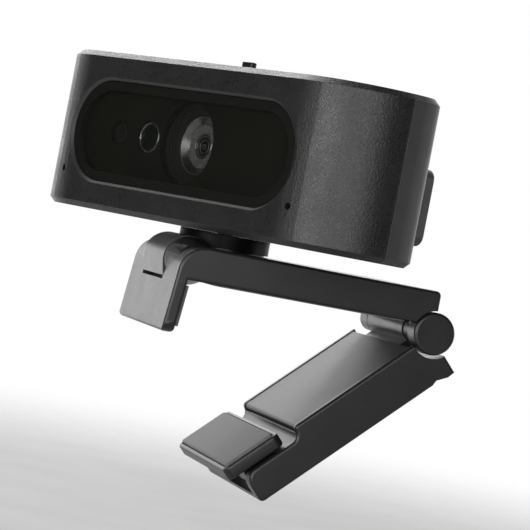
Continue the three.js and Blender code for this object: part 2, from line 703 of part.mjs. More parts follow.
function legShell() {
  let body = alongX(legProfile(), -CLIP_HALF, CLIP_HALF, EDGE_ROUND);
  body = body.subtract(legHollow());
  body = body.subtract(rod("x", -CLIP_HALF - 1, CLIP_HALF + 1, [0, 0], LEG_NOTCH, LEG_NOTCH, 64));
  const left = LEFT_LUG_INNER + GAP;
  const right = BUSH_INNER - GAP;
  const barrel = rod("x", left, right, [0, 0], BARREL_RADIUS);
  const web = slab(left, right, -LEG_NOTCH - LEG_WALL - 0.2, 0, LEG_WEB_UNDER, LEG_WEB_TOP);
  body = join(body, barrel, web);
  const hingeBore = HINGE_PIN_RADIUS + BORE_GAP;
  const footBore = FOOT_PIN_RADIUS + BORE_GAP;
  const pivot = [-FOOT_PIVOT_ALONG, FOOT_PIVOT_ACROSS];
  const blind = CLIP_HALF - PIN_END_WALL;
  body = body.subtract(rod("x", -CLIP_HALF, CLIP_HALF, [0, 0], hingeBore, hingeBore, 24));
  return body.subtract(rod("x", -blind, blind, pivot, footBore, footBore, 16));
}

function legFacePlate() {
  const half = CLIP_HALF - RAIL - GAP;
  const top = LEG_INNER - FACE_PLATE_SINK;
  const under = top - FACE_PLATE_THICK;
  const profile = outline([
    legCorner(LEG_STEP - 0.1, under),
    legCorner(LEG_NOTCH + GAP + 0.1, under),
    legCorner(LEG_NOTCH + GAP + 0.1, top, 0.3),
    legCorner(LEG_STEP - 0.1, top, 0.7),
  ]);
  return alongX(profile, -half, half);
}

function footPlan(inset, radius) {
  const half = FOOT_HALF - inset;
  return outline([
    [-half, -FOOT_END + inset, radius],
    [half, -FOOT_END + inset, radius],
    [half, -FOOT_START - inset, radius],
    [-half, -FOOT_START - inset, radius],
  ], 4);
}

function footLug(middle) {
  const [x0, x1] = [middle - FOOT_LUG_WIDTH / 2, middle + FOOT_LUG_WIDTH / 2];
  const pivot = [-FOOT_PIVOT_ALONG, FOOT_PIVOT_ACROSS];
  const [y0, y1] = [pivot[0] - FOOT_LUG_RADIUS, pivot[0] + FOOT_LUG_RADIUS];
  const eye = rod("x", x0, x1, pivot, FOOT_LUG_RADIUS, FOOT_LUG_RADIUS, 24);
  return eye.add(slab(x0, x1, y0, y1, FOOT_PIVOT_ACROSS, FOOT_UNDER + 0.3));
}

function footFrame() {
  let body = alongZ(footPlan(0, 1.6), FOOT_UNDER, FOOT_TOP, 0.5, 2);
  const seat = alongZ(footPlan(FOOT_RIM, 0.8), FOOT_TOP - FOOT_PAD_SINK, FOOT_TOP + 2);
  body = body.subtract(seat);
  const offset = CLIP_HALF - TIP_WALL - GAP - FOOT_LUG_WIDTH / 2 - 1;
  body = join(body, footLug(-offset), footLug(offset));
  const bore = FOOT_PIN_RADIUS + BORE_GAP;
  const pivot = [-FOOT_PIVOT_ALONG, FOOT_PIVOT_ACROSS];
  return body.subtract(rod("x", -CLIP_HALF, CLIP_HALF, pivot, bore, bore, 16));
}

function footPad() {
  const under = FOOT_TOP - FOOT_PAD_SINK + GLUE_GAP;
  return alongZ(footPlan(FOOT_RIM + GAP, 0.6), under, under + FOOT_PAD_THICK, 0.2, 1);
}

function footPin() {
  const reach = CLIP_HALF - PIN_END_WALL - GAP;
  const pivot = [-FOOT_PIVOT_ALONG, FOOT_PIVOT_ACROSS];
  return rod("x", -reach, reach, pivot, FOOT_PIN_RADIUS, FOOT_PIN_RADIUS, 16);
}

// ---- camera head: X across, Y rearward from its front face, Z up from its underside ---------

/** The head's outer body, or the same body drawn in by an inset. */
function headBody(inset) {
  const half = HEAD_HALF - inset;
  const front = HEAD_FRONT_ROUND - inset;
  const rear = HEAD_REAR_ROUND - inset;
  const plan = outline([
    [-half, inset, front],
    [half, inset, front],
    [half, HEAD_DEPTH - inset, rear],
    [-half, HEAD_DEPTH - inset, rear],
  ], 14);
  const chamfer = Math.max(HEAD_CHAMFER - inset, 0);
  return alongZ(plan, inset, HEAD_HEIGHT - inset, chamfer, 1);
}

function depthRange(y0, y1) {
  return slab(-HEAD_WIDTH, HEAD_WIDTH, y0, y1, -5, HEAD_HEIGHT + 5);
}

/** The bevelled mouth of the window, widest at the head's face. */
function windowMouth() {
  const side = (WINDOW_WIDTH - WINDOW_HEIGHT) / 2;
  const small = WINDOW_HEIGHT / 2;
  const large = small + WINDOW_CHAMFER;
  const section = new THREE.Shape([
    new THREE.Vector2(0, WINDOW_Z - large),
    new THREE.Vector2(WINDOW_CHAMFER, WINDOW_Z - small),
    new THREE.Vector2(WINDOW_CHAMFER, WINDOW_Z + small),
    new THREE.Vector2(0, WINDOW_Z + large),
  ]);
  const ends = [-side, side].map((x) => {
    return rod("y", 0, WINDOW_CHAMFER, [x, WINDOW_Z], large, small, 48);
  });
  return join(alongX(section, -side, side), ...ends);
}

function screwPlaces() {
  return [
    ["head_screw_1", -UPPER_SCREW_X, UPPER_SCREW_Z, HEAD_DEPTH],
    ["head_screw_2", UPPER_SCREW_X, UPPER_SCREW_Z, HEAD_DEPTH],
    ["head_screw_3", -LOWER_SCREW_X, LOWER_SCREW_Z, BLOCK_REAR],
    ["head_screw_4", LOWER_SCREW_X, LOWER_SCREW_Z, BLOCK_REAR],
  ];
}

function casingPost(x, z) {
  const half = SCREW_RADIUS + BORE_GAP + POST_WALL;
  const toFloor = z < HEAD_HEIGHT / 2;
  const low = toFloor ? WALL / 2 : z - half;
  const high = toFloor ? z + half : HEAD_HEIGHT - WALL / 2;
  const rear = SEAM + GAP - SPIGOT_LENGTH - 2 * GAP;
  return slab(x - half, x + half, POST_FRONT, rear, low, high);
}

function frontCasing() {
  let body = headBody(0).intersect(depthRange(-1, SEAM)).subtract(headBody(WALL));
  const ledgeRear = GLASS_FRONT + GLASS_THICK + 2 * BORE_GAP + GASKET_THICK + LEDGE_THICK;
  const frameWidth = WINDOW_WIDTH + 2 * WINDOW_FRAME;
  const frameHeight = WINDOW_HEIGHT + 2 * WINDOW_FRAME;
  body = body.add(pill(frameWidth, frameHeight, WALL - 0.2, ledgeRear));
  const ledgeWidth = WINDOW_WIDTH - 2 * LEDGE;
  const ledgeHeight = WINDOW_HEIGHT - 2 * LEDGE;
  body = body.subtract(pill(ledgeWidth, ledgeHeight, -1, ledgeRear + 1));
  body = body.subtract(pill(WINDOW_WIDTH, WINDOW_HEIGHT, WINDOW_CHAMFER - 0.05, ledgeRear - LEDGE_THICK));
  body = body.subtract(windowMouth());
  for (const [, x, z] of screwPlaces()) {
    body = body.add(casingPost(x, z));
    const bore = SCREW_RADIUS + BORE_GAP;
    body = body.subtract(rod("y", POST_FRONT + 0.5, SEAM, [x, z], bore, bore, 12));
  }
  for (const x of [-MIC_X, MIC_X]) {
    const hole = rod("y", -1, MIC_FRONT, [x, MIC_Z], MIC_HOLE_RADIUS, MIC_HOLE_RADIUS, 16);
    body = body.subtract(hole);
  }
  return body.subtract(shutterSlot());
}

/** The slot in the casing's roof that the shutter's stem runs along. */
function shutterSlot() {
  const half = STEM_WIDTH / 2 + GAP;
  const depth = STEM_DEPTH / 2 + BORE_GAP;
  const left = SHUTTER_KNOB_X - SHUTTER_TRAVEL - half;
  const right = SHUTTER_KNOB_X + half;
  const [y0, y1] = [SHUTTER_Y - depth, SHUTTER_Y + depth];
  return slab(left, right, y0, y1, HEAD_HEIGHT - WALL - 1, HEAD_HEIGHT + 1);
}

/** The rim of the rear cover that slips inside the front casing. */
function coverSpigot() {
  const inner = headBody(WALL + GAP + SPIGOT_THICK);
  const tongue = headBody(WALL + GAP).subtract(inner);
  const flange = headBody(WALL - 0.1).subtract(inner);
  const front = SEAM + GAP - SPIGOT_LENGTH;
  const rear = SEAM + GAP + 1.5;
  const ring = tongue.intersect(depthRange(front, rear)).add(flange.intersect(depthRange(SEAM + GAP, rear)));
  const washer = PAN_WASHER_RADIUS + 2;
  return ring.subtract(slab(-washer, washer, front - 1, rear + 1, 0, HEAD_HEIGHT / 2));
}

function rearCover() {
  const start = SEAM + GAP;
  let body = headBody(0).intersect(depthRange(start, BLOCK_REAR));
  const blockShape = (inset) => outline([
    [-BLOCK_HALF + inset, BLOCK_UNDER + inset, 2],
    [BLOCK_HALF - inset, BLOCK_UNDER + inset, 2],
    [BLOCK_HALF - inset, BLOCK_TOP - inset, 2],
    [-BLOCK_HALF + inset, BLOCK_TOP - inset, 2],
  ], 4);
  body = body.add(alongY(blockShape(0), start + 3, BLOCK_REAR, BLOCK_CHAMFER, 1));
  body = body.subtract(headBody(WALL));
  body = body.subtract(alongY(blockShape(WALL), start, BLOCK_REAR - WALL));
  body = body.add(coverSpigot());
  for (const [, x, z, rear] of screwPlaces()) {
    const seat = rear - SCREW_HEAD_THICK - GAP - 0.1;
    const bore = SCREW_RADIUS + BORE_GAP;
    const sink = SCREW_HEAD_RADIUS + BORE_GAP;
    body = body.add(rod("y", start - SPIGOT_LENGTH, rear - 0.3, [x, z], BOSS_RADIUS, BOSS_RADIUS, 24));
    body = body.subtract(rod("y", 0, rear + 1, [x, z], bore, bore, 12));
    body = body.subtract(rod("y", seat, rear + 1, [x, z], sink, sink, 20));
  }
  const stud = STUD_RADIUS + BORE_GAP + 0.1;
  body = body.subtract(rod("z", -1, WALL + 2, [0, PAN_AXIS_DEPTH], stud, stud, 20));
  const usb = outline(roundedBox(USB_WIDTH / 2 + BORE_GAP, USB_HEIGHT / 2 + BORE_GAP), 4);
  return body.subtract(alongY(usb, BLOCK_REAR - WALL - 1, BLOCK_REAR + 1));
}

/** Corners of the cable inlet's section, fully rounded at both ends. */
function roundedBox(halfWidth, halfHeight) {
  const round = halfHeight * 0.98;
  return [
    [-halfWidth, USB_Z - halfHeight, round],
    [halfWidth, USB_Z - halfHeight, round],
    [halfWidth, USB_Z + halfHeight, round],
    [-halfWidth, USB_Z + halfHeight, round],
  ];
}

function usbSocket() {
  const front = MAIN_BOARD_Y + BOARD_THICK + GAP;
  const rear = BLOCK_REAR - 0.4;
  const outer = outline(roundedBox(USB_WIDTH / 2, USB_HEIGHT / 2), 4);
  const inner = outline(roundedBox(USB_WIDTH / 2 - USB_SHELL, USB_HEIGHT / 2 - USB_SHELL), 4);
  const shell = alongY(outer, front, rear).subtract(alongY(inner, front + 1.5, rear + 1));
  const thin = USB_TONGUE_THICK / 2;
  const tongue = slab(
    -USB_TONGUE_HALF, USB_TONGUE_HALF, front + 1, rear - 1.2, USB_Z - thin, USB_Z + thin,
  );
  return shell.add(tongue);
}

function windowGlass() {
  const width = WINDOW_WIDTH - 2 * BORE_GAP;
  const height = WINDOW_HEIGHT - 2 * BORE_GAP;
  return pill(width, height, GLASS_FRONT, GLASS_FRONT + GLASS_THICK);
}

function windowGasket() {
  const front = GLASS_FRONT + GLASS_THICK + BORE_GAP;
  const ring = pill(WINDOW_WIDTH - 2 * BORE_GAP, WINDOW_HEIGHT - 2 * BORE_GAP, front, front + GASKET_THICK);
  const hole = 2 * LEDGE - 2 * BORE_GAP;
  return ring.subtract(pill(WINDOW_WIDTH - hole, WINDOW_HEIGHT - hole, front - 1, front + 1));
}

function opticsMask() {
  const edge = 2 * LEDGE + 2 * BORE_GAP;
  const rear = MASK_FRONT + MASK_THICK;
  const openings = [
    [LENS_X, LENS_OPENING],
    [IR_CAMERA_X, IR_CAMERA_RADIUS + BORE_GAP],
    [IR_LED_X, IR_LED_RADIUS + BORE_GAP],
    [STATUS_LED_X, STATUS_LED_RADIUS + BORE_GAP],
  ];
  let body = pill(WINDOW_WIDTH - edge, WINDOW_HEIGHT - edge, MASK_FRONT, rear);
  for (const [x, radius] of openings) {
    body = body.subtract(rod("y", 0, rear + 1, [x, OPTICS_Z], radius, radius, 40));
  }
  return body;
}

/** The dark stepped cone in front of the lens. */
function lensFunnel() {
  const inner = LENS_RING_RADIUS + BORE_GAP;
  const rise = (LENS_OPENING - inner) / FUNNEL_STEPS;
  const run = (LENS_RING_FRONT - FUNNEL_FRONT) / FUNNEL_STEPS;
  const profile = [[LENS_OPENING + 0.8, FUNNEL_FRONT], [LENS_OPENING + 0.8, BOARD_FACE]];
  profile.push([inner, BOARD_FACE]);
  for (let k = 0; k < FUNNEL_STEPS; k += 1) {
    profile.push([inner + rise * k, LENS_RING_FRONT - run * k]);
    profile.push([inner + rise * (k + 1), LENS_RING_FRONT - run * k]);
  }
  profile.push([LENS_OPENING, FUNNEL_FRONT]);
  return turned(profile, LENS_X, OPTICS_Z, 40);
}

function lensRing() {
  const bore = LENS_GLASS_RADIUS + 0.1;
  return turned([
    [bore, LENS_FACE_DEPTH],
    [LENS_FACE_RADIUS, LENS_FACE_DEPTH],
    [LENS_RING_RADIUS - 0.15, LENS_RING_FRONT],
    [LENS_RING_RADIUS, LENS_RING_FRONT],
    [LENS_RING_RADIUS, BOARD_FACE],
    [bore, BOARD_FACE],
  ], LENS_X, OPTICS_Z, 40);
}

/** A glass lens with a domed front of the given radius, apex depth and rear depth. */
function domedLens(x, radius, apex, rear) {
  const sag = radius * 0.22;
  const steps = 5;
  const profile = [];
  for (let k = 0; k <= steps; k += 1) {
    const share = k / steps;
    profile.push([radius * share, apex + sag * share * share]);
  }
  profile.push([radius, rear]);
  profile.push([0, rear]);
  const points = profile.map(([r, y]) => new THREE.Vector2(r, y));
  const geometry = new THREE.LatheGeometry(points, 32);
  return solid(geometry.translate(x, 0, OPTICS_Z));
}

function lensBarrel() {
  const tube = rod("y", FRONT_BOARD_Y, SENSOR_BOARD_Y - 2, [LENS_X, OPTICS_Z], LENS_BARREL_RADIUS);
  const bore = LENS_BARREL_BORE;
  return tube.subtract(rod("y", 0, HEAD_DEPTH, [LENS_X, OPTICS_Z], bore, bore, 24));
}

function lensHolder() {
  const half = HOLDER_WIDTH / 2;
  const front = FRONT_BOARD_Y + BOARD_THICK + GAP;
  const rear = SENSOR_BOARD_Y - GAP;
  const block = slab(LENS_X - half, LENS_X + half, front, rear, OPTICS_Z - half, OPTICS_Z + half);
  const bore = LENS_BARREL_RADIUS + BORE_GAP;
  return block.subtract(rod("y", 0, HEAD_DEPTH, [LENS_X, OPTICS_Z], bore));
}

function imageSensor() {
  const rear = SENSOR_BOARD_Y - GAP;
  const [across, up] = SENSOR_HALF;
  const front = rear - SENSOR_THICK;
  return slab(LENS_X - across, LENS_X + across, front, rear, OPTICS_Z - up, OPTICS_Z + up);
}

function frontBoard() {
  const half = HEAD_HALF - FRONT_BOARD_MARGIN;
  const rear = FRONT_BOARD_Y + BOARD_THICK;
  const board = slab(-half, half, FRONT_BOARD_Y, rear, BOARD_UNDER, BOARD_TOP);
  const hole = LENS_BARREL_RADIUS + 2 * BORE_GAP;
  return board.subtract(rod("y", 0, HEAD_DEPTH, [LENS_X, OPTICS_Z], hole));
}

function mainBoard() {
  const half = HEAD_HALF - MAIN_BOARD_MARGIN;
  return slab(-half, half, MAIN_BOARD_Y, MAIN_BOARD_Y + BOARD_THICK, BOARD_UNDER + 2, BOARD_TOP);
}

function sensorBoard() {
  const half = SENSOR_BOARD_WIDTH / 2;
  const [y0, y1] = [SENSOR_BOARD_Y, SENSOR_BOARD_Y + BOARD_THICK];
  return slab(-half, half, y0, y1, OPTICS_Z - half + 1, OPTICS_Z + half - 1);
}

function boardConnector() {
  const [y0, y1] = [SENSOR_BOARD_Y + BOARD_THICK + GAP, MAIN_BOARD_Y - GAP];
  const [across, up] = CONNECTOR_HALF;
  return slab(-across, across, y0, y1, OPTICS_Z - up, OPTICS_Z + up);
}

function shieldCan() {
  const front = MAIN_BOARD_Y + BOARD_THICK + GAP;
  return slab(SHIELD.left, SHIELD.right, front, front + SHIELD.thick, SHIELD.under, SHIELD.top);
}

function irCamera() {
  const half = IR_CAMERA_RADIUS - BORE_GAP;
  const front = MASK_FRONT + MASK_THICK + GAP;
  return slab(
    IR_CAMERA_X - half, IR_CAMERA_X + half, front + 0.4, BOARD_FACE, OPTICS_Z - half, OPTICS_Z + half,
  );
}

function irLed() {
  const flange = rod("y", 6.8, BOARD_FACE, [IR_LED_X, OPTICS_Z], IR_LED_RADIUS + 0.4);
  return flange.add(domedLens(IR_LED_X, IR_LED_RADIUS, MASK_FRONT + 0.1, 7));
}

function statusLed() {
  const at = [STATUS_LED_X, OPTICS_Z];
  const pipe = rod("y", MASK_FRONT + 0.1, 7, at, STATUS_LED_RADIUS, STATUS_LED_RADIUS, 16);
  return pipe.add(slab(STATUS_LED_X - 1, STATUS_LED_X + 1, 6.8, BOARD_FACE, OPTICS_Z - 1, OPTICS_Z + 1));
}

function microphone(x) {
  const can = rod("y", MIC_FRONT, BOARD_FACE, [x, MIC_Z], MIC_RADIUS, MIC_RADIUS, 20);
  return can.subtract(rod("y", 0, MIC_FRONT + 1, [x, MIC_Z], MIC_PORT, MIC_PORT, 12));
}

function shutterBlade() {
  const rear = BLADE_Y + BLADE_THICK;
  const low = OPTICS_Z - BLADE_HEIGHT / 2;
  const plate = slab(
    BLADE_INNER_EDGE, BLADE_INNER_EDGE + BLADE_WIDTH, BLADE_Y, rear, low, low + BLADE_HEIGHT,
  );
  const tab = slab(SHUTTER_KNOB_X - 2, SHUTTER_KNOB_X + 2, BLADE_Y, rear, OPTICS_Z, HEAD_HEIGHT - WALL - 0.6);
  return plate.add(tab);
}

function shutterSlider() {
  const x = SHUTTER_KNOB_X;
  const clampFront = BLADE_Y + BLADE_THICK + 0.1;
  const roof = HEAD_HEIGHT - WALL;
  const knobShape = outline([
    [x - KNOB_WIDTH / 2, SHUTTER_Y - KNOB_DEPTH / 2, 0.45],
    [x + KNOB_WIDTH / 2, SHUTTER_Y - KNOB_DEPTH / 2, 0.45],
    [x + KNOB_WIDTH / 2, SHUTTER_Y + KNOB_DEPTH / 2, 0.45],
    [x - KNOB_WIDTH / 2, SHUTTER_Y + KNOB_DEPTH / 2, 0.45],
  ], 3);
  const base = HEAD_HEIGHT + BORE_GAP;
  const knob = alongZ(knobShape, base, base + KNOB_HEIGHT, 0.2, 2);
  const [w, d] = [STEM_WIDTH / 2, STEM_DEPTH / 2];
  const stem = slab(x - w, x + w, SHUTTER_Y - d, SHUTTER_Y + d, roof - 2, base + 0.5);
  const clamp = slab(x - 2.2, x + 2.2, clampFront, SHUTTER_Y + 1.2, roof - 3, roof - GAP);
  return join(knob, stem, clamp);
}

// ---- assembly -----------------------------------------------------------------------------

function clipPieces() {
  const [left, right] = baseScrewPlaces();
  return [
    piece("clip_arm", clipArm(), clipPlastic()),
    piece("arm_base_plate", armBasePlate(), blackPlastic()),
    piece("base_screw_left", baseScrew(left), steel()),
    piece("base_screw_right", baseScrew(right), steel()),
    piece("arm_pad", armPad(), gripRubber()),
    piece("lip_pad", lipPad(), gripRubber()),
    piece("tilt_pin", tiltPin(), steel()),
    piece("hinge_pin", hingePin(), steel()),
    piece("hinge_cap", hingeCap(), clipPlastic()),
    piece("friction_bush", frictionBush(), blackPlastic()),
  ];
}

function neckPieces() {
  return [
    piece("tilt_link", tiltLink(), clipPlastic()),
    piece("pan_stud", panStud(), steel()),
    piece("pan_washer", panWasher(), steel()),
    piece("pan_nut", panNut(), steel()),
  ];
}

function legPieces() {
  return [
    piece("leg_shell", legShell(), clipPlastic()),
    piece("leg_face_plate", legFacePlate(), platePlastic()),
    piece("foot_pin", footPin(), steel()),
    piece("foot_frame", footFrame(), clipPlastic()),
    piece("foot_pad", footPad(), gripRubber()),
  ];
}

function headPieces() {
  const screws = screwPlaces().map(([name, x, z, rear]) => {
    return piece(name, casingScrew(x, z, rear - 0.3), steel());
  });
  const domeRear = LENS_FACE_DEPTH + 0.9;
  return [
    piece("front_casing", frontCasing(), casingPlastic()),
    piece("rear_cover", rearCover(), coverPlastic()),
    piece("window_glass", windowGlass(), darkGlass()),
    piece("window_gasket", windowGasket(), blackPlastic()),
    piece("optics_mask", opticsMask(), blackPlastic()),
    piece("lens_funnel", lensFunnel(), blackPlastic()),
    piece("lens_ring", lensRing(), ringMetal()),
    piece("lens_glass", domedLens(LENS_X, LENS_GLASS_RADIUS, LENS_FACE_DEPTH + 0.1, domeRear), darkGlass()),
    piece("lens_barrel", lensBarrel(), chipBlack()),
    piece("lens_holder", lensHolder(), blackPlastic()),
    piece("image_sensor", imageSensor(), chipBlack()),
    piece("sensor_board", sensorBoard(), boardGreen()),
    piece("front_board", frontBoard(), boardGreen()),
    piece("main_board", mainBoard(), boardGreen()),
    piece("board_connector", boardConnector(), chipBlack()),
    piece("shield_can", shieldCan(), steel()),
    piece("usb_socket", usbSocket(), steel()),
    piece("ir_camera", irCamera(), chipBlack()),
    piece("ir_camera_lens", domedLens(IR_CAMERA_X, IR_CAMERA_RADIUS, MASK_FRONT + 0.1, 3.7), darkGlass()),
    piece("ir_led", irLed(), darkGlass()),
    piece("status_led", statusLed(), darkGlass()),
    piece("mic_left", microphone(-MIC_X), chipBlack()),
    piece("mic_right", microphone(MIC_X), chipBlack()),
    piece("shutter_blade", shutterBlade(), blackPlastic()),
    piece("shutter_slider", shutterSlider(), blackPlastic()),
    ...screws,
  ];
}

function buildHead() {
  const inner = new THREE.Group();
  inner.position.set(0, -PAN_AXIS_DEPTH, 0);
  inner.add(...headPieces());
  const head = new THREE.Group();
  head.position.set(0, 0, HEAD_UNDERSIDE);
  head.rotation.z = THREE.MathUtils.degToRad(PAN_ANGLE);
  head.add(inner);
  return head;
}

function buildLeg() {
  const leg = new THREE.Group();
  leg.position.set(0, HINGE_Y, HINGE_Z);
  leg.rotation.x = THREE.MathUtils.degToRad(LEG_ANGLE);
  leg.add(...legPieces());
  return leg;
}

const webcam = new THREE.Group();
webcam.add(...clipPieces(), ...neckPieces(), buildLeg(), buildHead());

export default webcam;
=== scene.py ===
"""Looks, light and camera for a wide-angle webcam on a folding monitor clip.

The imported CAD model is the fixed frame. Every CAD piece that shows is carried over with smooth
faces and a finish of its own, and the small parts that CAD leaves plain are modelled here.
"""

import json
import logging
import math
from dataclasses import dataclass, field
from enum import Enum
from typing import Any

import bmesh
import bpy
from mathutils import Matrix, Vector

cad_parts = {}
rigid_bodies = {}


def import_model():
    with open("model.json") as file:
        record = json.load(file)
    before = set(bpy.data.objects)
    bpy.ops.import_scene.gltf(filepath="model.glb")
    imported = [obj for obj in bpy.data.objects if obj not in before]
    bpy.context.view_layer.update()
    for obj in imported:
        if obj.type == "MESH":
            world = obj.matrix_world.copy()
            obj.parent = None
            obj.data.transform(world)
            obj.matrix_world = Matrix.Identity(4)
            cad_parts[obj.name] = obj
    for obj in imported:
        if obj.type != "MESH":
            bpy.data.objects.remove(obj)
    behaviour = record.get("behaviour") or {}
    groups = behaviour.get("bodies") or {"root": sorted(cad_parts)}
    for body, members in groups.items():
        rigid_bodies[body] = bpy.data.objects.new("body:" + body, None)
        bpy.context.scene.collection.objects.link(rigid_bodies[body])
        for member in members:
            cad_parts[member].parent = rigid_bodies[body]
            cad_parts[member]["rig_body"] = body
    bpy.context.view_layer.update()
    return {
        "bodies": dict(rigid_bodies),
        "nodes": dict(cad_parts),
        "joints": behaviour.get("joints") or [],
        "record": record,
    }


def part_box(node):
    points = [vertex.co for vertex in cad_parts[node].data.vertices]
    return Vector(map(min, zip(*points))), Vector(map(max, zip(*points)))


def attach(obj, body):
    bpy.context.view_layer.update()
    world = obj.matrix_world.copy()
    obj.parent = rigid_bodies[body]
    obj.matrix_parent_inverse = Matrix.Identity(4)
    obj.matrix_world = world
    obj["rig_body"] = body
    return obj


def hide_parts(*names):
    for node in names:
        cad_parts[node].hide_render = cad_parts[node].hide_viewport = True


log = logging.getLogger("webcam")

MM = 0.001

# How far the window's front lies behind the head's front face, in millimetres.
GLASS_SINK = 0.62
# The height of the optics' axis above the head's underside, and the places of the lens and of
# the infrared camera across the head, in millimetres.
OPTICS_HEIGHT = 16.6
LENS_ACROSS = -0.1
INFRARED_ACROSS = -12.5

# Where the bulk of a noise lies, between its low side and its high side.
NOISE_LOW, NOISE_HIGH = 0.3, 0.7
# Where one colour ends and the other begins as a noise mixes them.
BLEND_LOW, BLEND_HIGH = 0.32, 0.68
# How alike a face's normal and its rounded normal are where the painted edge highlight is full.
HIGHLIGHT_EDGE_ALIKE = 0.8
EDGE_SAMPLES = 6

# Points nearer than this are one, on a CAD copy and on a turned shape, in millimetres.
MERGE_CAD, MERGE_TURNED = 0.002, 0.0005
SLIVER = 0.001  # millimetres: an edge shorter than this on a CAD copy is dissolved
FLATNESS = 0.4  # degrees: CAD faces that turn less than this are one face
EASED_ANGLE = 40.0  # degrees: edges sharper than this are eased
GROUND_ANGLE = 60.0  # degrees: glass edges sharper than this are ground
ROUND_STEPS = 96
RING_STEPS = 64
BEZEL_STEPS = 48

Colour = tuple[float, float, float]
Place = tuple[float, float, float]


class Body(Enum):
    """The moving bodies that a piece can ride on."""

    CLIP = "clip"
    NECK = "neck"
    HEAD = "head"
    SHUTTER = "shutter"
    LEG = "leg"
    FOOT = "foot"


class Shading(Enum):
    """How sharply a piece's faces may turn and still be shaded as one surface, in degrees."""

    TURNED = 35.0
    MOULDED = 28.0
    FLAT = 12.0


# ---- node graphs ------------------------------------------------------------------------------


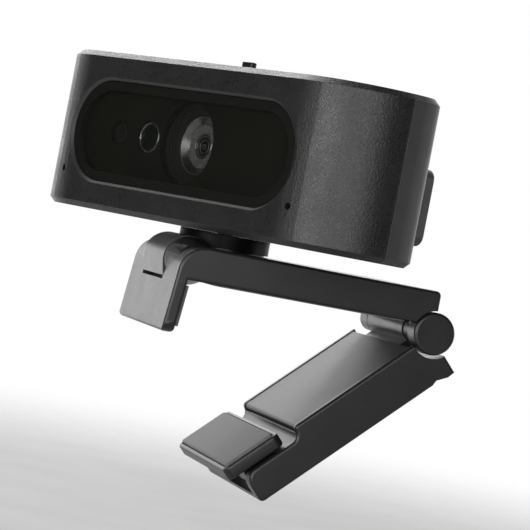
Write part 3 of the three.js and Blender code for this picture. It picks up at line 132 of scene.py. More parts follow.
class Graph:
    """A material's node tree, with short calls for adding and joining nodes."""

    def __init__(self, name: str) -> None:
        """Starts an empty material.

        Args:
            name: The material's name.
        """
        self.material = bpy.data.materials.new(name)
        self.material.use_nodes = True
        self.tree = self.material.node_tree
        self.tree.nodes.clear()
        self.output = self.tree.nodes.new("ShaderNodeOutputMaterial")
        self.place = self.add("ShaderNodeTexCoord").outputs["Object"]

    def add(self, kind: str, **settings: Any) -> bpy.types.Node:
        """Adds a node.

        Args:
            kind: The node's type.
            settings: Attributes of the node to set.

        Returns:
            The new node.
        """
        node = self.tree.nodes.new(kind)
        for key, value in settings.items():
            setattr(node, key, value)
        return node

    def feed(self, node: bpy.types.Node, **sockets: Any) -> bpy.types.Node:
        """Sets or links a node's inputs by name, with _ for a space.

        Args:
            node: The node to feed.
            sockets: A value, or another node's output, for each input.

        Returns:
            The same node.
        """
        for key, value in sockets.items():
            socket = node.inputs[key.replace("_", " ")]
            if isinstance(value, bpy.types.NodeSocket):
                self.tree.links.new(value, socket)
            else:
                socket.default_value = value
        return node

    def noise(self, scale: float, detail: float = 2.0, rough: float = 0.5) -> bpy.types.NodeSocket:
        """Adds noise on Object coordinates.

        Args:
            scale: Cells per metre.
            detail: Octaves.
            rough: Strength of each finer octave.

        Returns:
            The noise value's socket.
        """
        node = self.feed(self.add("ShaderNodeTexNoise"), Vector=self.place)
        self.feed(node, Scale=scale, Detail=detail, Roughness=rough)
        return node.outputs["Fac"]

    def cells(self, scale: float) -> bpy.types.NodeSocket:
        """Adds rounded cells, as the pits of a spark-eroded mould leave.

        Args:
            scale: Cells per metre.

        Returns:
            The socket of the distance to each cell's middle.
        """
        node = self.feed(self.add("ShaderNodeTexVoronoi", feature="SMOOTH_F1"), Vector=self.place)
        self.feed(node, Scale=scale, Smoothness=0.6)
        return node.outputs["Distance"]

    def remap(
        self,
        value: bpy.types.NodeSocket,
        low: float,
        high: float,
        start: float = NOISE_LOW,
        end: float = NOISE_HIGH,
    ) -> bpy.types.NodeSocket:
        """Spreads the middle of a noise over a range.

        Args:
            value: The noise.
            low: What its low side becomes.
            high: What its high side becomes.
            start: Where the noise's low side lies.
            end: Where its high side lies.

        Returns:
            The new value's socket.
        """
        node = self.feed(
            self.add("ShaderNodeMapRange"),
            Value=value, From_Min=start, From_Max=end, To_Min=low, To_Max=high,
        )
        return node.outputs["Result"]

    def blend(self, share: bpy.types.NodeSocket, low: Colour, high: Colour) -> bpy.types.NodeSocket:
        """Mixes two colours.

        Args:
            share: How much of the second.
            low: The first colour.
            high: The second colour.

        Returns:
            The colour's socket.
        """
        ramp = self.feed(self.add("ShaderNodeValToRGB"), Fac=share)
        stops = ((BLEND_LOW, low), (BLEND_HIGH, high))
        for element, (position, colour) in zip(ramp.color_ramp.elements, stops):
            element.position = position
            element.color = (*colour, 1.0)
        return ramp.outputs["Color"]

    def layered(
        self, first: bpy.types.NodeSocket, second: bpy.types.NodeSocket, gain: float,
    ) -> bpy.types.NodeSocket:
        """Adds a share of one noise or height to another.

        Args:
            first: The main one.
            second: The one added to it.
            gain: The share of the second.

        Returns:
            The sum's socket.
        """
        node = self.add("ShaderNodeMath", operation="MULTIPLY_ADD")
        self.tree.links.new(second, node.inputs[0])
        node.inputs[1].default_value = gain
        self.tree.links.new(first, node.inputs[2])
        return node.outputs[0]

    def soft_edges(self, radius: float) -> bpy.types.NodeSocket:
        """Adds the normal of slightly rounded edges.

        Args:
            radius: The edge's radius, in metres.

        Returns:
            The normal's socket.
        """
        node = self.feed(self.add("ShaderNodeBevel", samples=EDGE_SAMPLES), Radius=radius)
        return node.outputs["Normal"]

    def highlight_edge_share(self, rounded: bpy.types.NodeSocket) -> bpy.types.NodeSocket:
        """Finds the edges, where the rounded normal leaves the face's own; the painted edge
        highlight goes there.

        Args:
            rounded: The normal of the rounded edges.

        Returns:
            A socket that is 0 on a face and nears 1 along its edges.
        """
        own = self.add("ShaderNodeNewGeometry").outputs["Normal"]
        dot = self.add("ShaderNodeVectorMath", operation="DOT_PRODUCT")
        self.tree.links.new(rounded, dot.inputs[0])
        self.tree.links.new(own, dot.inputs[1])
        return self.remap(dot.outputs["Value"], 0.0, 1.0, start=1.0, end=HIGHLIGHT_EDGE_ALIKE)

    def bump(
        self,
        height: bpy.types.NodeSocket,
        depth: float,
        strength: float,
        normal: bpy.types.NodeSocket | None = None,
    ) -> bpy.types.NodeSocket:
        """Turns a height into a normal.

        Args:
            height: The height, from 0 to 1.
            depth: The height's full depth, in metres.
            strength: How much of it shows.
            normal: A normal to lay it on, or None for the surface's own.

        Returns:
            The normal's socket.
        """
        node = self.add("ShaderNodeBump")
        self.feed(node, Height=height, Distance=depth, Strength=strength)
        if normal is not None:
            self.tree.links.new(normal, node.inputs["Normal"])
        return node.outputs["Normal"]

    def surface(self, **sockets: Any) -> bpy.types.Material:
        """Adds the shader and ends the material.

        Args:
            sockets: The shader's inputs, by name with _ for a space.

        Returns:
            The finished material.
        """
        shader = self.feed(self.add("ShaderNodeBsdfPrincipled"), **sockets)
        self.tree.links.new(shader.outputs[0], self.output.inputs["Surface"])
        return self.material


# ---- finishes ---------------------------------------------------------------------------------


@dataclass(frozen=True)
class Finish:
    """A finish that can be made into a material."""

    name: str

    def make(self) -> bpy.types.Material:
        """Makes the material, or gives the one already made from this finish."""
        title = f"{self.name}_finish"
        found = bpy.data.materials.get(title)
        return found if found is not None else self.build(Graph(title))

    def build(self, graph: Graph) -> bpy.types.Material:
        """Fills the material's graph.

        Args:
            graph: The empty graph.

        Returns:
            The finished material.
        """
        raise NotImplementedError


@dataclass(frozen=True)
class MouldedPlastic(Finish):
    """Moulded plastic: cloudy colour, an eroded mould's grain, and a painted highlight on its
    edges.

    The grain and the patches are in cells per metre. Pits and gloss are finer than the grain by
    the pit_ratio and the gloss_ratio, and handling is how much the smears count in the gloss.
    """

    dark: Colour
    light: Colour
    # edge is the colour of the painted highlight along the edges.
    edge: Colour
    roughness: float
    grain: float
    depth: float
    strength: float
    specular: float = 0.5
    edge_radius: float = 0.12 * MM
    rough_spread: float = 0.06
    handling: float = 0.35
    cloud_patches: float = 90.0
    smear_patches: float = 150.0
    pit_ratio: float = 1.3
    pit_share: float = 0.3
    gloss_ratio: float = 1.7

    def build(self, graph: Graph) -> bpy.types.Material:
        """Fills the graph with clouds, grain and a painted edge highlight; see Finish.build."""
        rounded = graph.soft_edges(self.edge_radius)
        clouds = graph.noise(self.cloud_patches, 4.0, 0.6)
        # The edges are lightened towards the edge colour as a painted highlight.
        painted_edge_highlight = graph.add("ShaderNodeMix", data_type="RGBA")
        graph.tree.links.new(graph.highlight_edge_share(rounded), painted_edge_highlight.inputs["Factor"])
        graph.tree.links.new(graph.blend(clouds, self.dark, self.light), painted_edge_highlight.inputs["A"])
        painted_edge_highlight.inputs["B"].default_value = (*self.edge, 1.0)
        grain = graph.noise(self.grain, 3.0, 0.65)
        height = graph.layered(grain, graph.cells(self.grain * self.pit_ratio), self.pit_share)
        gloss = graph.noise(self.grain * self.gloss_ratio, 2.0)
        handled = graph.layered(gloss, graph.noise(self.smear_patches, 3.0), self.handling)
        middle = self.handling * 0.5
        roughness = graph.remap(
            handled,
            self.roughness - self.rough_spread, self.roughness + self.rough_spread,
            NOISE_LOW + middle, NOISE_HIGH + middle,
        )
        return graph.surface(
            Base_Color=painted_edge_highlight.outputs["Result"],
            Roughness=roughness,
            Specular_IOR_Level=self.specular,
            Normal=graph.bump(height, self.depth, self.strength, rounded),
        )


@dataclass(frozen=True)
class GripRubber(Finish):
    """Soft matte rubber: mottled, faintly dusty, with a fine pitted skin."""

    dark: Colour
    light: Colour
    roughness: float = 0.78
    rough_spread: float = 0.08
    sheen: float = 0.18
    sheen_roughness: float = 0.6
    edge_radius: float = 0.15 * MM
    mottle_patches: float = 170.0
    speckle: float = 1400.0
    speckle_share: float = 0.35
    skin: float = 3200.0
    pits: float = 1500.0
    pit_share: float = 0.5
    depth: float = 0.03 * MM
    strength: float = 0.35

    def build(self, graph: Graph) -> bpy.types.Material:
        """Fills the graph with mottling, dust and pits; see Finish.build."""
        rounded = graph.soft_edges(self.edge_radius)
        patches = graph.noise(self.mottle_patches, 5.0, 0.7)
        mottle = graph.layered(patches, graph.noise(self.speckle, 2.0), self.speckle_share)
        skin = graph.layered(graph.noise(self.skin, 2.0), graph.cells(self.pits), self.pit_share)
        low, high = self.roughness - self.rough_spread, self.roughness + self.rough_spread
        return graph.surface(
            Base_Color=graph.blend(mottle, self.dark, self.light),
            Roughness=graph.remap(mottle, low, high),
            Sheen_Weight=self.sheen,
            Sheen_Roughness=self.sheen_roughness,
            Normal=graph.bump(skin, self.depth, self.strength, rounded),
        )


@dataclass(frozen=True)
class ClearPane(Finish):
    """Clear or tinted glass, with faint smears in its gloss."""

    tint: Colour
    cover: float
    roughness: float = 0.04
    rough_spread: float = 0.05
    coat: float = 0.0
    coat_roughness: float = 0.02
    specular: float = 0.5
    smear_patches: float = 120.0
    smear_gain: float = 1.35
    waves: float = 60.0
    depth: float = 0.004 * MM
    strength: float = 0.2

    def build(self, graph: Graph) -> bpy.types.Material:
        """Fills the graph with a see-through tint and a smeared gloss; see Finish.build."""
        smears = graph.noise(self.smear_patches, 5.0, 0.7)
        smeared = tuple(channel * self.smear_gain for channel in self.tint)
        return graph.surface(
            Base_Color=graph.blend(smears, self.tint, smeared),
            Roughness=graph.remap(smears, self.roughness, self.roughness + self.rough_spread),
            Specular_IOR_Level=self.specular,
            Coat_Weight=self.coat,
            Coat_Roughness=self.coat_roughness,
            Alpha=self.cover,
            Normal=graph.bump(graph.noise(self.waves, 1.0), self.depth, self.strength),
        )


@dataclass(frozen=True)
class WorkedMetal(Finish):
    """Plated or turned metal: fine tool marks and a little tarnish."""

    dark: Colour
    light: Colour
    roughness: float = 0.3
    anisotropy: float = 0.4
    marks: float = 2500.0
    mark_share: float = 0.5
    metallic: float = 1.0
    tarnish: float = 0.07
    tarnish_patches: float = 500.0
    edge_radius: float = 0.06 * MM
    depth: float = 0.008 * MM
    strength: float = 0.3

    def build(self, graph: Graph) -> bpy.types.Material:
        """Fills the graph with tarnish and tool marks; see Finish.build."""
        tarnish = graph.noise(self.tarnish_patches, 4.0, 0.6)
        marks = graph.noise(self.marks, 2.0, 0.7)
        dulled = graph.layered(tarnish, marks, self.mark_share)
        low, high = self.roughness - self.tarnish, self.roughness + self.tarnish
        rounded = graph.soft_edges(self.edge_radius)
        return graph.surface(
            Base_Color=graph.blend(tarnish, self.dark, self.light),
            Metallic=self.metallic,
            Roughness=graph.remap(dulled, low, high, start=0.5, end=1.0),
            Anisotropic=self.anisotropy,
            Normal=graph.bump(marks, self.depth, self.strength, rounded),
        )


@dataclass(frozen=True)
class CircuitBoard(Finish):
    """A lacquered board: weave under the lacquer and paler tracks."""

    lacquer: Colour
    track: Colour
    shade: float = 0.8
    fields: float = 420.0
    track_width: float = 0.06
    weave: float = 1800.0
    gloss: float = 0.25
    dull: float = 0.4
    depth: float = 0.01 * MM
    strength: float = 0.3

    def build(self, graph: Graph) -> bpy.types.Material:
        """Fills the graph with tracks under lacquer; see Finish.build."""
        shaded = tuple(channel * self.shade for channel in self.lacquer)
        tracks = graph.add("ShaderNodeTexBrick", offset=0.37, squash=1.4)
        graph.feed(
            tracks, Vector=graph.place, Scale=self.fields, Mortar_Size=self.track_width,
            Color1=(*self.lacquer, 1.0), Color2=(*shaded, 1.0), Mortar=(*self.track, 1.0),
        )
        weave = graph.noise(self.weave, 2.0)
        return graph.surface(
            Base_Color=tracks.outputs["Color"],
            Roughness=graph.remap(weave, self.gloss, self.dull),
            Normal=graph.bump(weave, self.depth, self.strength),
        )


# The third colour of each moulded finish is the painted highlight on its edges.
CASING = MouldedPlastic(
    "casing_plastic", (0.0085, 0.0085, 0.0083), (0.012, 0.012, 0.0116), (0.03, 0.03, 0.03),
    roughness=0.37, grain=2300.0, depth=0.09 * MM, strength=1.0, rough_spread=0.13,
)
COVER = MouldedPlastic(
    "cover_plastic", (0.04, 0.04, 0.0393), (0.048, 0.048, 0.047), (0.065, 0.065, 0.065),
    roughness=0.5, grain=3200.0, depth=0.014 * MM, strength=0.4, specular=0.35,
)
CLIP = MouldedPlastic(
    "clip_plastic", (0.0095, 0.0095, 0.0093), (0.014, 0.0139, 0.0135), (0.045, 0.045, 0.044),
    roughness=0.34, grain=2600.0, depth=0.02 * MM, strength=0.5, rough_spread=0.05,
)
PLATE = MouldedPlastic(
    "plate_plastic", (0.014, 0.014, 0.014), (0.018, 0.0179, 0.0175), (0.05, 0.05, 0.05),
    roughness=0.44, grain=2300.0, depth=0.02 * MM, strength=0.5, rough_spread=0.03,
)
BLACK = MouldedPlastic(
    "black_plastic", (0.006, 0.006, 0.006), (0.009, 0.009, 0.0088), (0.02, 0.02, 0.02),
    roughness=0.38, grain=3000.0, depth=0.012 * MM, strength=0.3,
)
MASK = MouldedPlastic(
    "mask_plastic", (0.0125, 0.0132, 0.0105), (0.0145, 0.0152, 0.0122), (0.016, 0.0165, 0.014),
    roughness=0.55, grain=1500.0, depth=0.001 * MM, strength=0.1, specular=0.2, rough_spread=0.01,
)
BEZEL = MouldedPlastic(
    "bezel_plastic", (0.026, 0.026, 0.026), (0.034, 0.034, 0.0335), (0.04, 0.04, 0.04),
    roughness=0.42, grain=2400.0, depth=0.01 * MM, strength=0.4, specular=0.3, rough_spread=0.04,
)
PRINT = MouldedPlastic(
    "print_ink", (0.0075, 0.008, 0.0062), (0.009, 0.0095, 0.0075), (0.009, 0.0095, 0.0075),
    roughness=0.55, grain=1500.0, depth=0.001 * MM, strength=0.1, specular=0.2, rough_spread=0.01,
)
# The skirt's near-black is partly its own dark plastic and partly painted shade under the head.
SHADED_SKIRT = MouldedPlastic(
    "shaded_skirt_plastic", (0.002, 0.002, 0.002), (0.003, 0.003, 0.0028), (0.006, 0.006, 0.006),
    roughness=0.46, grain=2000.0, depth=0.004 * MM, strength=0.2, specular=0.12,
)
FUNNEL = MouldedPlastic(
    "funnel_plastic", (0.022, 0.0235, 0.0205), (0.028, 0.0295, 0.026), (0.07, 0.07, 0.068),
    roughness=0.5, grain=2400.0, depth=0.004 * MM, strength=0.2, edge_radius=0.1 * MM,
)
PAD = GripRubber("pad_rubber", (0.07, 0.07, 0.07), (0.125, 0.125, 0.124))
SEAL = GripRubber("seal_rubber", (0.012, 0.012, 0.012), (0.02, 0.02, 0.02))
WINDOW = ClearPane(
    "window_glass", (0.0085, 0.0096, 0.0068), cover=0.34, roughness=0.03, specular=0.4,
)
COATED = ClearPane(
    "coated_lens", (0.006, 0.012, 0.011), cover=0.35, roughness=0.03, coat=0.6, specular=0.9,
)
LAMP = ClearPane("lamp_cap", (0.026, 0.026, 0.023), cover=0.8, roughness=0.12, coat=0.3)
RING = WorkedMetal(
    "ring_metal", (0.56, 0.56, 0.55), (0.62, 0.62, 0.61),
    roughness=0.27, marks=900.0, metallic=0.62,
)
BEVEL = WorkedMetal(
    "bevel_metal", (0.62, 0.62, 0.62), (0.68, 0.68, 0.68),
    roughness=0.24, marks=600.0, anisotropy=0.1, tarnish=0.02,
)
GLOSS_RING = WorkedMetal(
    "gloss_ring", (0.5, 0.5, 0.5), (0.6, 0.6, 0.6), roughness=0.2, marks=700.0, metallic=0.9,
)
STEEL = WorkedMetal("plated_steel", (0.38, 0.38, 0.38), (0.5, 0.5, 0.49), roughness=0.28)
DARK_STEEL = WorkedMetal("dark_steel", (0.035, 0.035, 0.036), (0.06, 0.06, 0.06), roughness=0.34)
BOARD = CircuitBoard("circuit_board", (0.012, 0.06, 0.03), (0.05, 0.16, 0.07))
SENSOR = ClearPane("sensor_cover", (0.03, 0.05, 0.045), cover=0.92, roughness=0.08)


# ---- pieces -----------------------------------------------------------------------------------


@dataclass
class Workshop:
    """Carries CAD pieces over and places new ones, and keeps count of both."""

    frame: dict[str, Any]
    made: list[str] = field(default_factory=list)

    def carry(
        self,
        node: str,
        finish: Finish,
        slot: str,
        shading: Shading = Shading.MOULDED,
        eased: float = 0.0,
    ) -> bpy.types.Object:
        """Stands a smooth-faced copy in for a CAD node.

        Args:
            node: The CAD node's name.
            finish: Its finish.
            slot: The record's material slot.
            shading: Which of its edges stay sharp.
            eased: How far its edges are eased, in millimetres.

        Returns:
            The new piece.
        """
        source = self.frame["nodes"][node]
        shape = bmesh.new()
        shape.from_mesh(source.data)
        bmesh.ops.remove_doubles(shape, verts=shape.verts, dist=MERGE_CAD * MM)
        bmesh.ops.dissolve_degenerate(shape, edges=shape.edges, dist=SLIVER * MM)
        bmesh.ops.dissolve_limit(
            shape, angle_limit=math.radians(FLATNESS), verts=shape.verts, edges=shape.edges,
        )
        body = Body(source["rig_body"])
        made = self.place(shape, f"{node}_shown", finish, body, slot, shading, eased)
        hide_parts(node)
        return made

    def keep(self, node: str, finish: Finish) -> None:
        """Leaves a CAD node in place and gives it a finish.

        Args:
            node: The CAD node's name.
            finish: Its finish.
        """
        made = self.frame["nodes"][node]
        made.data.materials.clear()
        made.data.materials.append(finish.make())
        self.made.append(node)
        log.info("kept %s in %s", node, finish.name)

    def place(
        self,
        shape: bmesh.types.BMesh,
        name: str,
        finish: Finish,
        body: Body,
        slot: str,
        shading: Shading = Shading.TURNED,
        eased: float = 0.0,
    ) -> bpy.types.Object:
        """Makes a finished piece of a bmesh.

        Args:
            shape: The shape, in metres in the row frame. It is freed.
            name: The piece's name.
            finish: Its finish.
            body: The body it rides on.
            slot: The record's material slot; not used.
            shading: Which of its edges stay sharp.
            eased: How far its edges are eased, in millimetres.

        Returns:
            The new piece.
        """
        mesh = bpy.data.meshes.new(name)
        shape.to_mesh(mesh)
        shape.free()
        mesh.shade_smooth()
        mesh.set_sharp_from_angle(angle=math.radians(shading.value))
        mesh.materials.append(finish.make())
        made = bpy.data.objects.new(name, mesh)
        bpy.context.scene.collection.objects.link(made)
        if eased > 0.0:
            bevel = made.modifiers.new("eased_edges", "BEVEL")
            bevel.width = eased * MM
            bevel.segments = 2
            bevel.limit_method = "ANGLE"
            bevel.angle_limit = math.radians(EASED_ANGLE)
            bevel.use_clamp_overlap = True
        evened = made.modifiers.new("even_shading", "WEIGHTED_NORMAL")
        evened.keep_sharp = True
        evened.weight = 100
        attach(made, body.value)
        self.made.append(name)
        log.info("made %s: %d faces in %s", name, len(mesh.polygons), finish.name)
        return made


def head_frame(frame: dict[str, Any]) -> Matrix:
    """Finds the head's own frame: X across, Y rearward from its face, Z up from its underside.


    Returns:
        The matrix from the head's frame to the row frame, in metres.
    """
    slide = next(joint for joint in frame["joints"] if joint["name"] == "shutter")
    across = -Vector(slide["axis"]).normalized()
    up = Vector((0.0, 0.0, 1.0))
    rearward = up.cross(across)
    pane = [vertex.co for vertex in frame["nodes"]["window_glass"].data.vertices]
    low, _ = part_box("front_casing")
    front = min(point.dot(rearward) for point in pane) - GLASS_SINK * MM
    middle = sum(point.dot(across) for point in pane) / len(pane)
    origin = across * middle + rearward * front + up * low.z
    turn = Matrix((across, rearward, up)).transposed().to_4x4()
    return Matrix.Translation(origin) @ turn


def turned(profile: list[tuple[float, float]], steps: int) -> bmesh.types.BMesh:
    """Spins a closed profile of [radius, depth] pairs about the Y axis.

    Args:
        profile: Radius and place along the axis of each corner, in millimetres.
        steps: Faces round the turn.

    Returns:
        The closed shape, in metres.
    """
    shape = bmesh.new()
    corners = [shape.verts.new((radius * MM, depth * MM, 0.0)) for radius, depth in profile]
    edges = [shape.edges.new((a, b)) for a, b in zip(corners, corners[1:] + corners[:1])]
    bmesh.ops.spin(
        shape, geom=corners + edges, cent=(0, 0, 0), axis=(0, 1, 0),
        angle=2 * math.pi, steps=steps, use_merge=True,
    )
    bmesh.ops.remove_doubles(shape, verts=shape.verts, dist=MERGE_TURNED * MM)
    bmesh.ops.dissolve_degenerate(shape, edges=shape.edges, dist=MERGE_TURNED * MM)
    bmesh.ops.recalc_face_normals(shape, faces=shape.faces)
    return shape


def pill(width: float, height: float, steps: int) -> bmesh.types.BMesh:
    """Makes a pill-shaped outline as one upright face in the head's own frame, about its origin.

    Args:
        width: The pill's width, in millimetres.
        height: Its height, in millimetres.
        steps: Edges round its two ends together.

    Returns:
        The face, in metres.
    """
    shape = bmesh.new()
    side = (width - height) / 2
    bmesh.ops.create_circle(shape, cap_ends=True, segments=steps, radius=height / 2 * MM)
    right = [vertex for vertex in shape.verts if vertex.co.x > MERGE_TURNED * MM]
    left = [vertex for vertex in shape.verts if vertex not in right]
    bmesh.ops.translate(shape, verts=right, vec=(side * MM, 0, 0))
    bmesh.ops.translate(shape, verts=left, vec=(-side * MM, 0, 0))
    upright = Matrix.Rotation(math.pi / 2, 4, "X")
    bmesh.ops.transform(shape, matrix=upright, verts=shape.verts)
    return shape


def thicken(shape: bmesh.types.BMesh, depth: float) -> None:
    """Thickens a sheet rearward into a closed body.

    Args:
        shape: The sheet, in metres in the head's own frame.
        depth: Its thickness, in millimetres.
    """
    grown = bmesh.ops.extrude_face_region(shape, geom=shape.faces[:])
    rear = [corner for corner in grown["geom"] if isinstance(corner, bmesh.types.BMVert)]
    bmesh.ops.translate(shape, verts=rear, vec=(0, depth * MM, 0))
    bmesh.ops.recalc_face_normals(shape, faces=shape.faces)


def open_middle(shape: bmesh.types.BMesh) -> None:
    """Takes out the middle face of an outline that has been inset.

    Args:
        shape: The outline with its inset border.
    """
    middle = max(shape.faces, key=lambda face: len(face.verts))
    bmesh.ops.delete(shape, geom=[middle], context="FACES_ONLY")


def put(shape: bmesh.types.BMesh, place: Place, across: Matrix) -> None:
    """Moves a shape to its place in the head and turns it with the head.

    Args:
        shape: The shape, about the origin of the head's own frame.
        place: Its place in that frame, in millimetres.
        across: The matrix from the head's frame to the row frame.
    """
    bmesh.ops.translate(shape, verts=shape.verts, vec=Vector(place) * MM)
    bmesh.ops.transform(shape, matrix=across, verts=shape.verts)


@dataclass
class CameraHead:
    """The head: its two casings, the glass window, the microphones, the boards and the screws."""

    shop: Workshop
    across: Matrix
    window_width: float = 69.8
    window_height: float = 20.8
    window_z: float = 16.5
    glass_thick: float = 1.38
    glass_bevel: float = 0.15
    print_width: float = 1.9
    print_thick: float = 0.05
    bezel_width: float = 0.6
    bezel_gap: float = 0.4
    bezel_thick: float = 0.12
    bezel_proud: float = 0.03

    def build(self) -> None:
        """Builds every piece of the head."""
        self.shop.carry("front_casing", CASING, "head_front")
        self.shop.carry("rear_cover", COVER, "head_rear")
        self.window_pane()
        self.window_print()
        self.window_bezel()
        for index in range(1, 5):
            self.shop.carry(f"head_screw_{index}", DARK_STEEL, "steel")
        self.shop.carry("usb_socket", STEEL, "steel")
        self.shop.carry("mic_left", BLACK, "black_plastic")
        self.shop.carry("mic_right", BLACK, "black_plastic")
        self.shop.keep("window_gasket", SEAL)
        self.shop.keep("main_board", BOARD)
        self.shop.keep("front_board", BOARD)
        self.shop.keep("sensor_board", BOARD)
        self.shop.keep("board_connector", BLACK)
        self.shop.keep("shield_can", STEEL)

    def window_bezel(self) -> None:
        """Models the polished chamfer round the mouth of the window."""
        chamfer = self.bezel_width
        width, height = self.window_width + self.bezel_gap, self.window_height + self.bezel_gap
        shape = pill(width + 2 * chamfer, height + 2 * chamfer, BEZEL_STEPS)
        shape.normal_update()
        outline = shape.faces[:][0]
        if outline.normal.y > 0:
            outline.normal_flip()
        bmesh.ops.inset_individual(
            shape, faces=[outline], thickness=chamfer * MM, depth=-chamfer * MM,
            use_even_offset=True,
        )
        open_middle(shape)
        thicken(shape, self.bezel_thick)
        put(shape, (0.0, -self.bezel_proud, self.window_z), self.across)
        self.shop.place(shape, "window_bezel", BEZEL, Body.HEAD, "head_front", Shading.FLAT)

    def window_print(self) -> None:
        """Models the black border printed just under the pane's front face."""
        shape = pill(self.window_width, self.window_height, ROUND_STEPS)
        bmesh.ops.inset_individual(
            shape, faces=shape.faces[:], thickness=self.print_width * MM, use_even_offset=True,
        )
        open_middle(shape)
        thicken(shape, self.print_thick)
        put(shape, (0.0, GLASS_SINK + self.print_thick, self.window_z), self.across)
        self.shop.place(shape, "window_print", PRINT, Body.HEAD, "black_plastic")

    def window_pane(self) -> None:
        """Models the pill-shaped pane with its ground edges."""
        shape = pill(self.window_width, self.window_height, ROUND_STEPS)
        thicken(shape, self.glass_thick)
        sharp = math.radians(GROUND_ANGLE)
        rims = [edge for edge in shape.edges if edge.is_manifold and edge.calc_face_angle() > sharp]
        bmesh.ops.bevel(
            shape, geom=rims, offset=self.glass_bevel * MM, affect="EDGES",
            segments=2, profile=0.5, material=-1,
        )
        put(shape, (0.0, GLASS_SINK, self.window_z), self.across)
        pane = self.shop.place(shape, "window_pane", WINDOW, Body.HEAD, "window")
        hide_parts("window_glass")


@dataclass(frozen=True)
class TurnedRing:
    """A thin turned ring in the optics, in millimetres in the head's own frame.

    Inner and outer are its radii, front and rear its places behind the head's front face, and x
    its place across the head.
    """

    name: str
    inner: float
    outer: float
    front: float
    rear: float
    x: float = LENS_ACROSS
    finish: Finish = GLOSS_RING


@dataclass
class Optics:
    """What shows through the window: the lens in its cone, the infrared camera and lamps."""

    shop: Workshop
    across: Matrix
    cone_inner: float = 4.73
    cone_outer: float = 5.84
    cone_deep: float = 7.14
    cone_front: float = 6.12
    cone_lift: float = 0.05
    cone_thick: float = 0.12
    rim_share: float = 0.3
    rings: tuple[TurnedRing, ...] = (
        TurnedRing("lens_rim_outer", inner=4.5, outer=4.72, front=7.08, rear=7.24),
        TurnedRing("lens_rim_inner", inner=2.4, outer=2.62, front=7.0, rear=7.24),
        TurnedRing("lens_baffle", inner=2.05, outer=2.16, front=7.2, rear=7.4, finish=RING),
        TurnedRing("lens_stop", inner=1.3, outer=1.42, front=7.3, rear=7.45, finish=RING),
        TurnedRing("lens_core", inner=0.42, outer=0.54, front=7.3, rear=7.42, finish=RING),
        TurnedRing(
            "infrared_rim", inner=2.72, outer=3.25, front=2.62, rear=3.2, x=INFRARED_ACROSS,
        ),
    )

    def build(self) -> None:
        """Builds every piece of the optics."""
        self.shop.carry("optics_mask", MASK, "black_plastic")
        self.shop.carry("lens_funnel", FUNNEL, "black_plastic", Shading.FLAT)
        self.shop.carry("lens_ring", RING, "ring_metal", Shading.TURNED)
        self.shop.carry("lens_glass", COATED, "lens_glass")
        self.shop.carry("ir_camera_lens", COATED, "lens_glass")
        self.shop.carry("ir_led", LAMP, "led")
        self.shop.carry("status_led", LAMP, "led")
        for node in ("lens_barrel", "lens_holder", "ir_camera"):
            self.shop.keep(node, BLACK)
        self.shop.keep("image_sensor", SENSOR)
        for ring in self.rings:
            self.turn(ring)
        self.bevel()

    def bevel(self) -> None:
        """Turns the polished cone that steps down to the lens's face."""
        inner, outer, lift, thick = (
            self.cone_inner, self.cone_outer, self.cone_lift, self.cone_thick,
        )
        shape = turned([
            (inner, self.cone_deep - lift), (outer, self.cone_front - lift),
            (outer + lift, self.cone_front),
            (outer, self.cone_front + thick), (inner, self.cone_deep + thick),
        ], ROUND_STEPS)
        put(shape, (LENS_ACROSS, 0.0, OPTICS_HEIGHT), self.across)
        self.shop.place(shape, "lens_bevel", BEVEL, Body.HEAD, "ring_metal")

    def turn(self, ring: TurnedRing) -> None:
        """Turns one thin ring whose front rims are taken off.

        Args:
            ring: The ring.
        """
        inner, outer, front, rear = ring.inner, ring.outer, ring.front, ring.rear
        corner = min(outer - inner, rear - front) * self.rim_share
        shape = turned([
            (inner, rear), (outer, rear), (outer, front + corner),
            (outer - corner, front), (inner + corner, front), (inner, front + corner),
        ], RING_STEPS)
        put(shape, (ring.x, 0.0, OPTICS_HEIGHT), self.across)
        self.shop.place(shape, ring.name, ring.finish, Body.HEAD, "ring_metal")


@dataclass
class Shutter:
    """The privacy shutter: a blade behind the window and the knob that slides it."""

    shop: Workshop
    knob_edge: float = 0.15

    def build(self) -> None:
        """Builds the blade and the knob."""
        self.shop.carry("shutter_blade", BLACK, "black_plastic")
        self.shop.carry("shutter_slider", BLACK, "black_plastic", eased=self.knob_edge)


@dataclass
class Neck:
    """The tilting link under the head, the near-black skirt that closes the gap as painted shade
    under the head, and the stud it turns on.

    Heights are in millimetres above the row frame's origin, on the neck's own axis.
    """

    shop: Workshop
    skirt_radius: float = 9.35
    skirt_inner: float = 4.2
    skirt_under: float = 7.5
    skirt_wall: float = 0.15
    skirt_round: float = 0.1
    disc_top: float = 10.1
    head_underside: float = 10.4
    hair: float = 0.02

    def build(self) -> None:
        """Builds the link, the skirt, the stud, the washer and the nut."""
        self.shop.carry("tilt_link", CLIP, "clip_plastic")
        self.skirt()
        self.shop.carry("pan_stud", STEEL, "steel")
        for node in ("pan_washer", "pan_nut"):
            self.shop.keep(node, STEEL)

    def skirt(self) -> None:
        """Turns the thin near-black skirt that caps the link's disc and reaches up to the head,
        filling the gap there with painted shade.
        """
        inner, outer = self.skirt_inner, self.skirt_radius
        within = outer - self.skirt_wall
        base, top = self.disc_top + self.hair, self.head_underside - self.hair
        shape = turned([
            (inner, base), (within, base), (within, self.skirt_under), (outer, self.skirt_under),
            (outer, top - self.skirt_round), (outer - self.skirt_round, top), (inner, top),
        ], ROUND_STEPS)
        upright = Matrix.Rotation(math.pi / 2, 4, "X")
        bmesh.ops.transform(shape, matrix=upright, verts=shape.verts)
        self.shop.place(shape, "neck_skirt", SHADED_SKIRT, Body.NECK, "black_plastic")


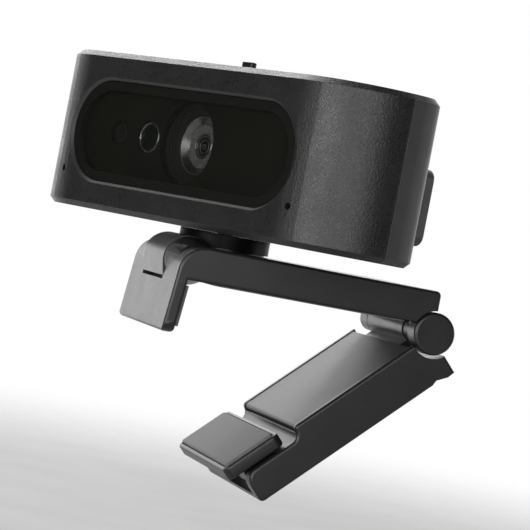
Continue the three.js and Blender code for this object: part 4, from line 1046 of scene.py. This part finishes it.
@dataclass
class ClipArm:
    """The arm with its lip, its pads and base plate, and the hinge at its rear."""

    shop: Workshop
    cap_edge: float = 0.2

    def build(self) -> None:
        """Builds every piece that stays still on the screen."""
        self.shop.carry("clip_arm", CLIP, "clip_plastic")
        self.shop.carry("hinge_cap", CLIP, "clip_plastic", eased=self.cap_edge)
        self.shop.carry("hinge_pin", STEEL, "steel")
        self.shop.carry("friction_bush", BLACK, "black_plastic")
        self.shop.carry("arm_pad", PAD, "pad_rubber")
        self.shop.carry("lip_pad", PAD, "pad_rubber")
        self.shop.keep("arm_base_plate", BLACK)
        for node in ("base_screw_left", "base_screw_right", "tilt_pin"):
            self.shop.keep(node, STEEL)


@dataclass
class Leg:
    """The hinged leg with its face plate."""

    shop: Workshop
    shell_edge: float = 0.25
    plate_edge: float = 0.2

    def build(self) -> None:
        """Builds the leg's shell, face plate and foot pin."""
        self.shop.carry("leg_shell", CLIP, "clip_plastic", eased=self.shell_edge)
        self.shop.carry("leg_face_plate", PLATE, "face_plate", eased=self.plate_edge)
        self.shop.carry("foot_pin", STEEL, "steel")


@dataclass
class Foot:
    """The tilting foot with its rubber pad."""

    shop: Workshop
    frame_edge: float = 0.25
    pad_edge: float = 0.25

    def build(self) -> None:
        """Builds the foot's frame and pad."""
        self.shop.carry("foot_frame", CLIP, "clip_plastic", eased=self.frame_edge)
        self.shop.carry("foot_pad", PAD, "pad_rubber", eased=self.pad_edge)


# ---- studio -----------------------------------------------------------------------------------


@dataclass(frozen=True)
class SoftBox:
    """A square soft light, aimed at the object.

    Bearing 0 is in front (-Y) and 90 to the right (+X), in degrees, as height is. Distance and
    side are in metres.
    """

    name: str
    bearing: float
    height: float
    distance: float
    side: float
    radiance: float

    def build(self) -> None:
        """Hangs the light."""
        angle, rise = math.radians(self.bearing), math.radians(self.height)
        level = math.cos(rise)
        way = Vector((math.sin(angle) * level, -math.cos(angle) * level, math.sin(rise)))
        lamp = bpy.data.lights.new(self.name, "AREA")
        lamp.shape = "SQUARE"
        lamp.size = self.side
        lamp.energy = self.radiance * math.pi * self.side**2
        made = bpy.data.objects.new(self.name, lamp)
        made.location = way * self.distance
        made.rotation_mode = "QUATERNION"
        made.rotation_quaternion = way.to_track_quat("Z", "Y")
        bpy.context.scene.collection.objects.link(made)


@dataclass
class Studio:
    """The pale room: floor, pale walls, soft boxes and the camera.

    Places are in millimetres. The walls' stops are shares of the way from the near side to the
    far side, each with the share of the walls' light that it gives.
    """

    lens: float = 173.75
    camera_at: Place = (508.22, -128.83, 10.54)
    look: Place = (-0.9649, 0.2625, -0.0091)
    roll: float = 10.85
    near: float = 0.05
    far: float = 10.0
    floor_height: float = -56.0
    floor_radius: float = 420.0
    floor_solid: float = 0.3
    floor_gone: float = 0.97
    floor_dark: Colour = (0.44, 0.44, 0.44)
    floor_light: Colour = (0.48, 0.48, 0.48)
    floor_patches: float = 40.0
    floor_roughness: float = 0.8
    floor_glow: float = 0.12
    wall_light: float = 2.0
    wall_rise: float = 0.1
    wall_stops: tuple[tuple[float, float], ...] = (
        (0.0, 0.01), (0.74, 0.01), (0.84, 0.5), (0.93, 1.0),
    )

    def build(self) -> None:
        """Builds the room, the lights and the camera."""
        self.walls()
        self.floor()
        for box in (
            SoftBox("key_box", bearing=36.0, height=5.0, distance=1.1, side=0.5, radiance=6.6),
            SoftBox("halo_box", bearing=30.0, height=12.0, distance=1.3, side=1.1, radiance=0.9),
            SoftBox("side_box", bearing=80.0, height=5.0, distance=1.3, side=0.84, radiance=3.7),
            SoftBox("rear_box", bearing=176.0, height=4.0, distance=1.2, side=0.4, radiance=3.4),
            SoftBox("top_box", bearing=-75.0, height=46.0, distance=1.0, side=0.6, radiance=4.6),
        ):
            box.build()
        self.camera()
        bpy.context.scene.view_settings.view_transform = "Standard"

    def walls(self) -> None:
        """Paints the room: white to the eye, and dimmer towards its near side as a light source."""
        world = bpy.data.worlds.new("pale_room")
        world.use_nodes = True
        tree = world.node_tree
        tree.nodes.clear()
        place = tree.nodes.new("ShaderNodeTexCoord").outputs["Generated"]
        along = tree.nodes.new("ShaderNodeVectorMath")
        along.operation = "DOT_PRODUCT"
        along.inputs[1].default_value = (self.look[0], self.look[1], self.wall_rise)
        tree.links.new(place, along.inputs[0])
        fade = tree.nodes.new("ShaderNodeValToRGB")
        stops = fade.color_ramp.elements
        stops[0].position, stops[1].position = self.wall_stops[0][0], self.wall_stops[-1][0]
        for share, _ in self.wall_stops[1:-1]:
            stops.new(share)
        for stop, (_, level) in zip(stops, self.wall_stops):
            stop.color = (level, level, level, 1.0)
        half = tree.nodes.new("ShaderNodeMapRange")
        half.inputs["From Min"].default_value = -1.0
        tree.links.new(along.outputs["Value"], half.inputs["Value"])
        tree.links.new(half.outputs["Result"], fade.inputs["Fac"])
        seen = tree.nodes.new("ShaderNodeBackground")
        seen.inputs["Color"].default_value = (1.0, 1.0, 1.0, 1.0)
        lit = tree.nodes.new("ShaderNodeBackground")
        tree.links.new(fade.outputs["Color"], lit.inputs["Color"])
        lit.inputs["Strength"].default_value = self.wall_light
        pick = tree.nodes.new("ShaderNodeMixShader")
        rays = tree.nodes.new("ShaderNodeLightPath")
        output = tree.nodes.new("ShaderNodeOutputWorld")
        tree.links.new(rays.outputs["Is Camera Ray"], pick.inputs["Fac"])
        tree.links.new(lit.outputs[0], pick.inputs[1])
        tree.links.new(seen.outputs[0], pick.inputs[2])
        tree.links.new(pick.outputs[0], output.inputs["Surface"])
        bpy.context.scene.world = world

    def floor(self) -> None:
        """Lays a round pale floor that fades out at its rim."""
        shape, radius = bmesh.new(), self.floor_radius * MM
        bmesh.ops.create_circle(shape, cap_ends=True, segments=ROUND_STEPS, radius=radius)
        bmesh.ops.translate(shape, verts=shape.verts, vec=(0, 0, self.floor_height * MM))
        mesh = bpy.data.meshes.new("floor")
        shape.to_mesh(mesh)
        shape.free()
        graph = Graph("pale_floor")
        away = graph.add("ShaderNodeVectorMath", operation="LENGTH")
        graph.tree.links.new(graph.place, away.inputs[0])
        fade = graph.add("ShaderNodeMapRange", interpolation_type="SMOOTHSTEP")
        graph.feed(
            fade, Value=away.outputs["Value"], To_Min=1.0, To_Max=0.0,
            From_Min=radius * self.floor_solid, From_Max=radius * self.floor_gone,
        )
        patches = graph.noise(self.floor_patches, 3.0)
        mesh.materials.append(graph.surface(
            Base_Color=graph.blend(patches, self.floor_dark, self.floor_light),
            Roughness=self.floor_roughness, Alpha=fade.outputs["Result"],
            Emission_Color=(1.0, 1.0, 1.0, 1.0), Emission_Strength=self.floor_glow,
        ))
        made = bpy.data.objects.new("floor", mesh)
        bpy.context.scene.collection.objects.link(made)

    def camera(self) -> None:
        """Sets the camera and rolls it."""
        ahead = Vector(self.look).normalized()
        level = ahead.cross(Vector((0, 0, 1))).normalized()
        up = level.cross(ahead)
        roll = math.radians(self.roll)
        right = level * math.cos(roll) + up * math.sin(roll)
        above = up * math.cos(roll) - level * math.sin(roll)
        data = bpy.data.cameras.new("camera")
        data.lens = self.lens
        data.clip_start, data.clip_end = self.near, self.far
        made = bpy.data.objects.new("camera", data)
        turn = Matrix((right, above, -ahead)).transposed()
        made.matrix_world = Matrix.Translation(Vector(self.camera_at) * MM) @ turn.to_4x4()
        bpy.context.scene.collection.objects.link(made)
        bpy.context.scene.camera = made


def main() -> None:
    """Builds the webcam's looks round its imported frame."""
    logging.basicConfig(level=logging.INFO, format="%(name)s: %(message)s")
    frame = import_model()
    Studio().build()
    shop = Workshop(frame)
    across = head_frame(frame)
    for part in (
        CameraHead(shop, across), Optics(shop, across), Shutter(shop),
        Neck(shop), ClipArm(shop), Leg(shop), Foot(shop),
    ):
        part.build()
    log.info("%d pieces in all", len(shop.made))


if __name__ == "__main__":
    main()
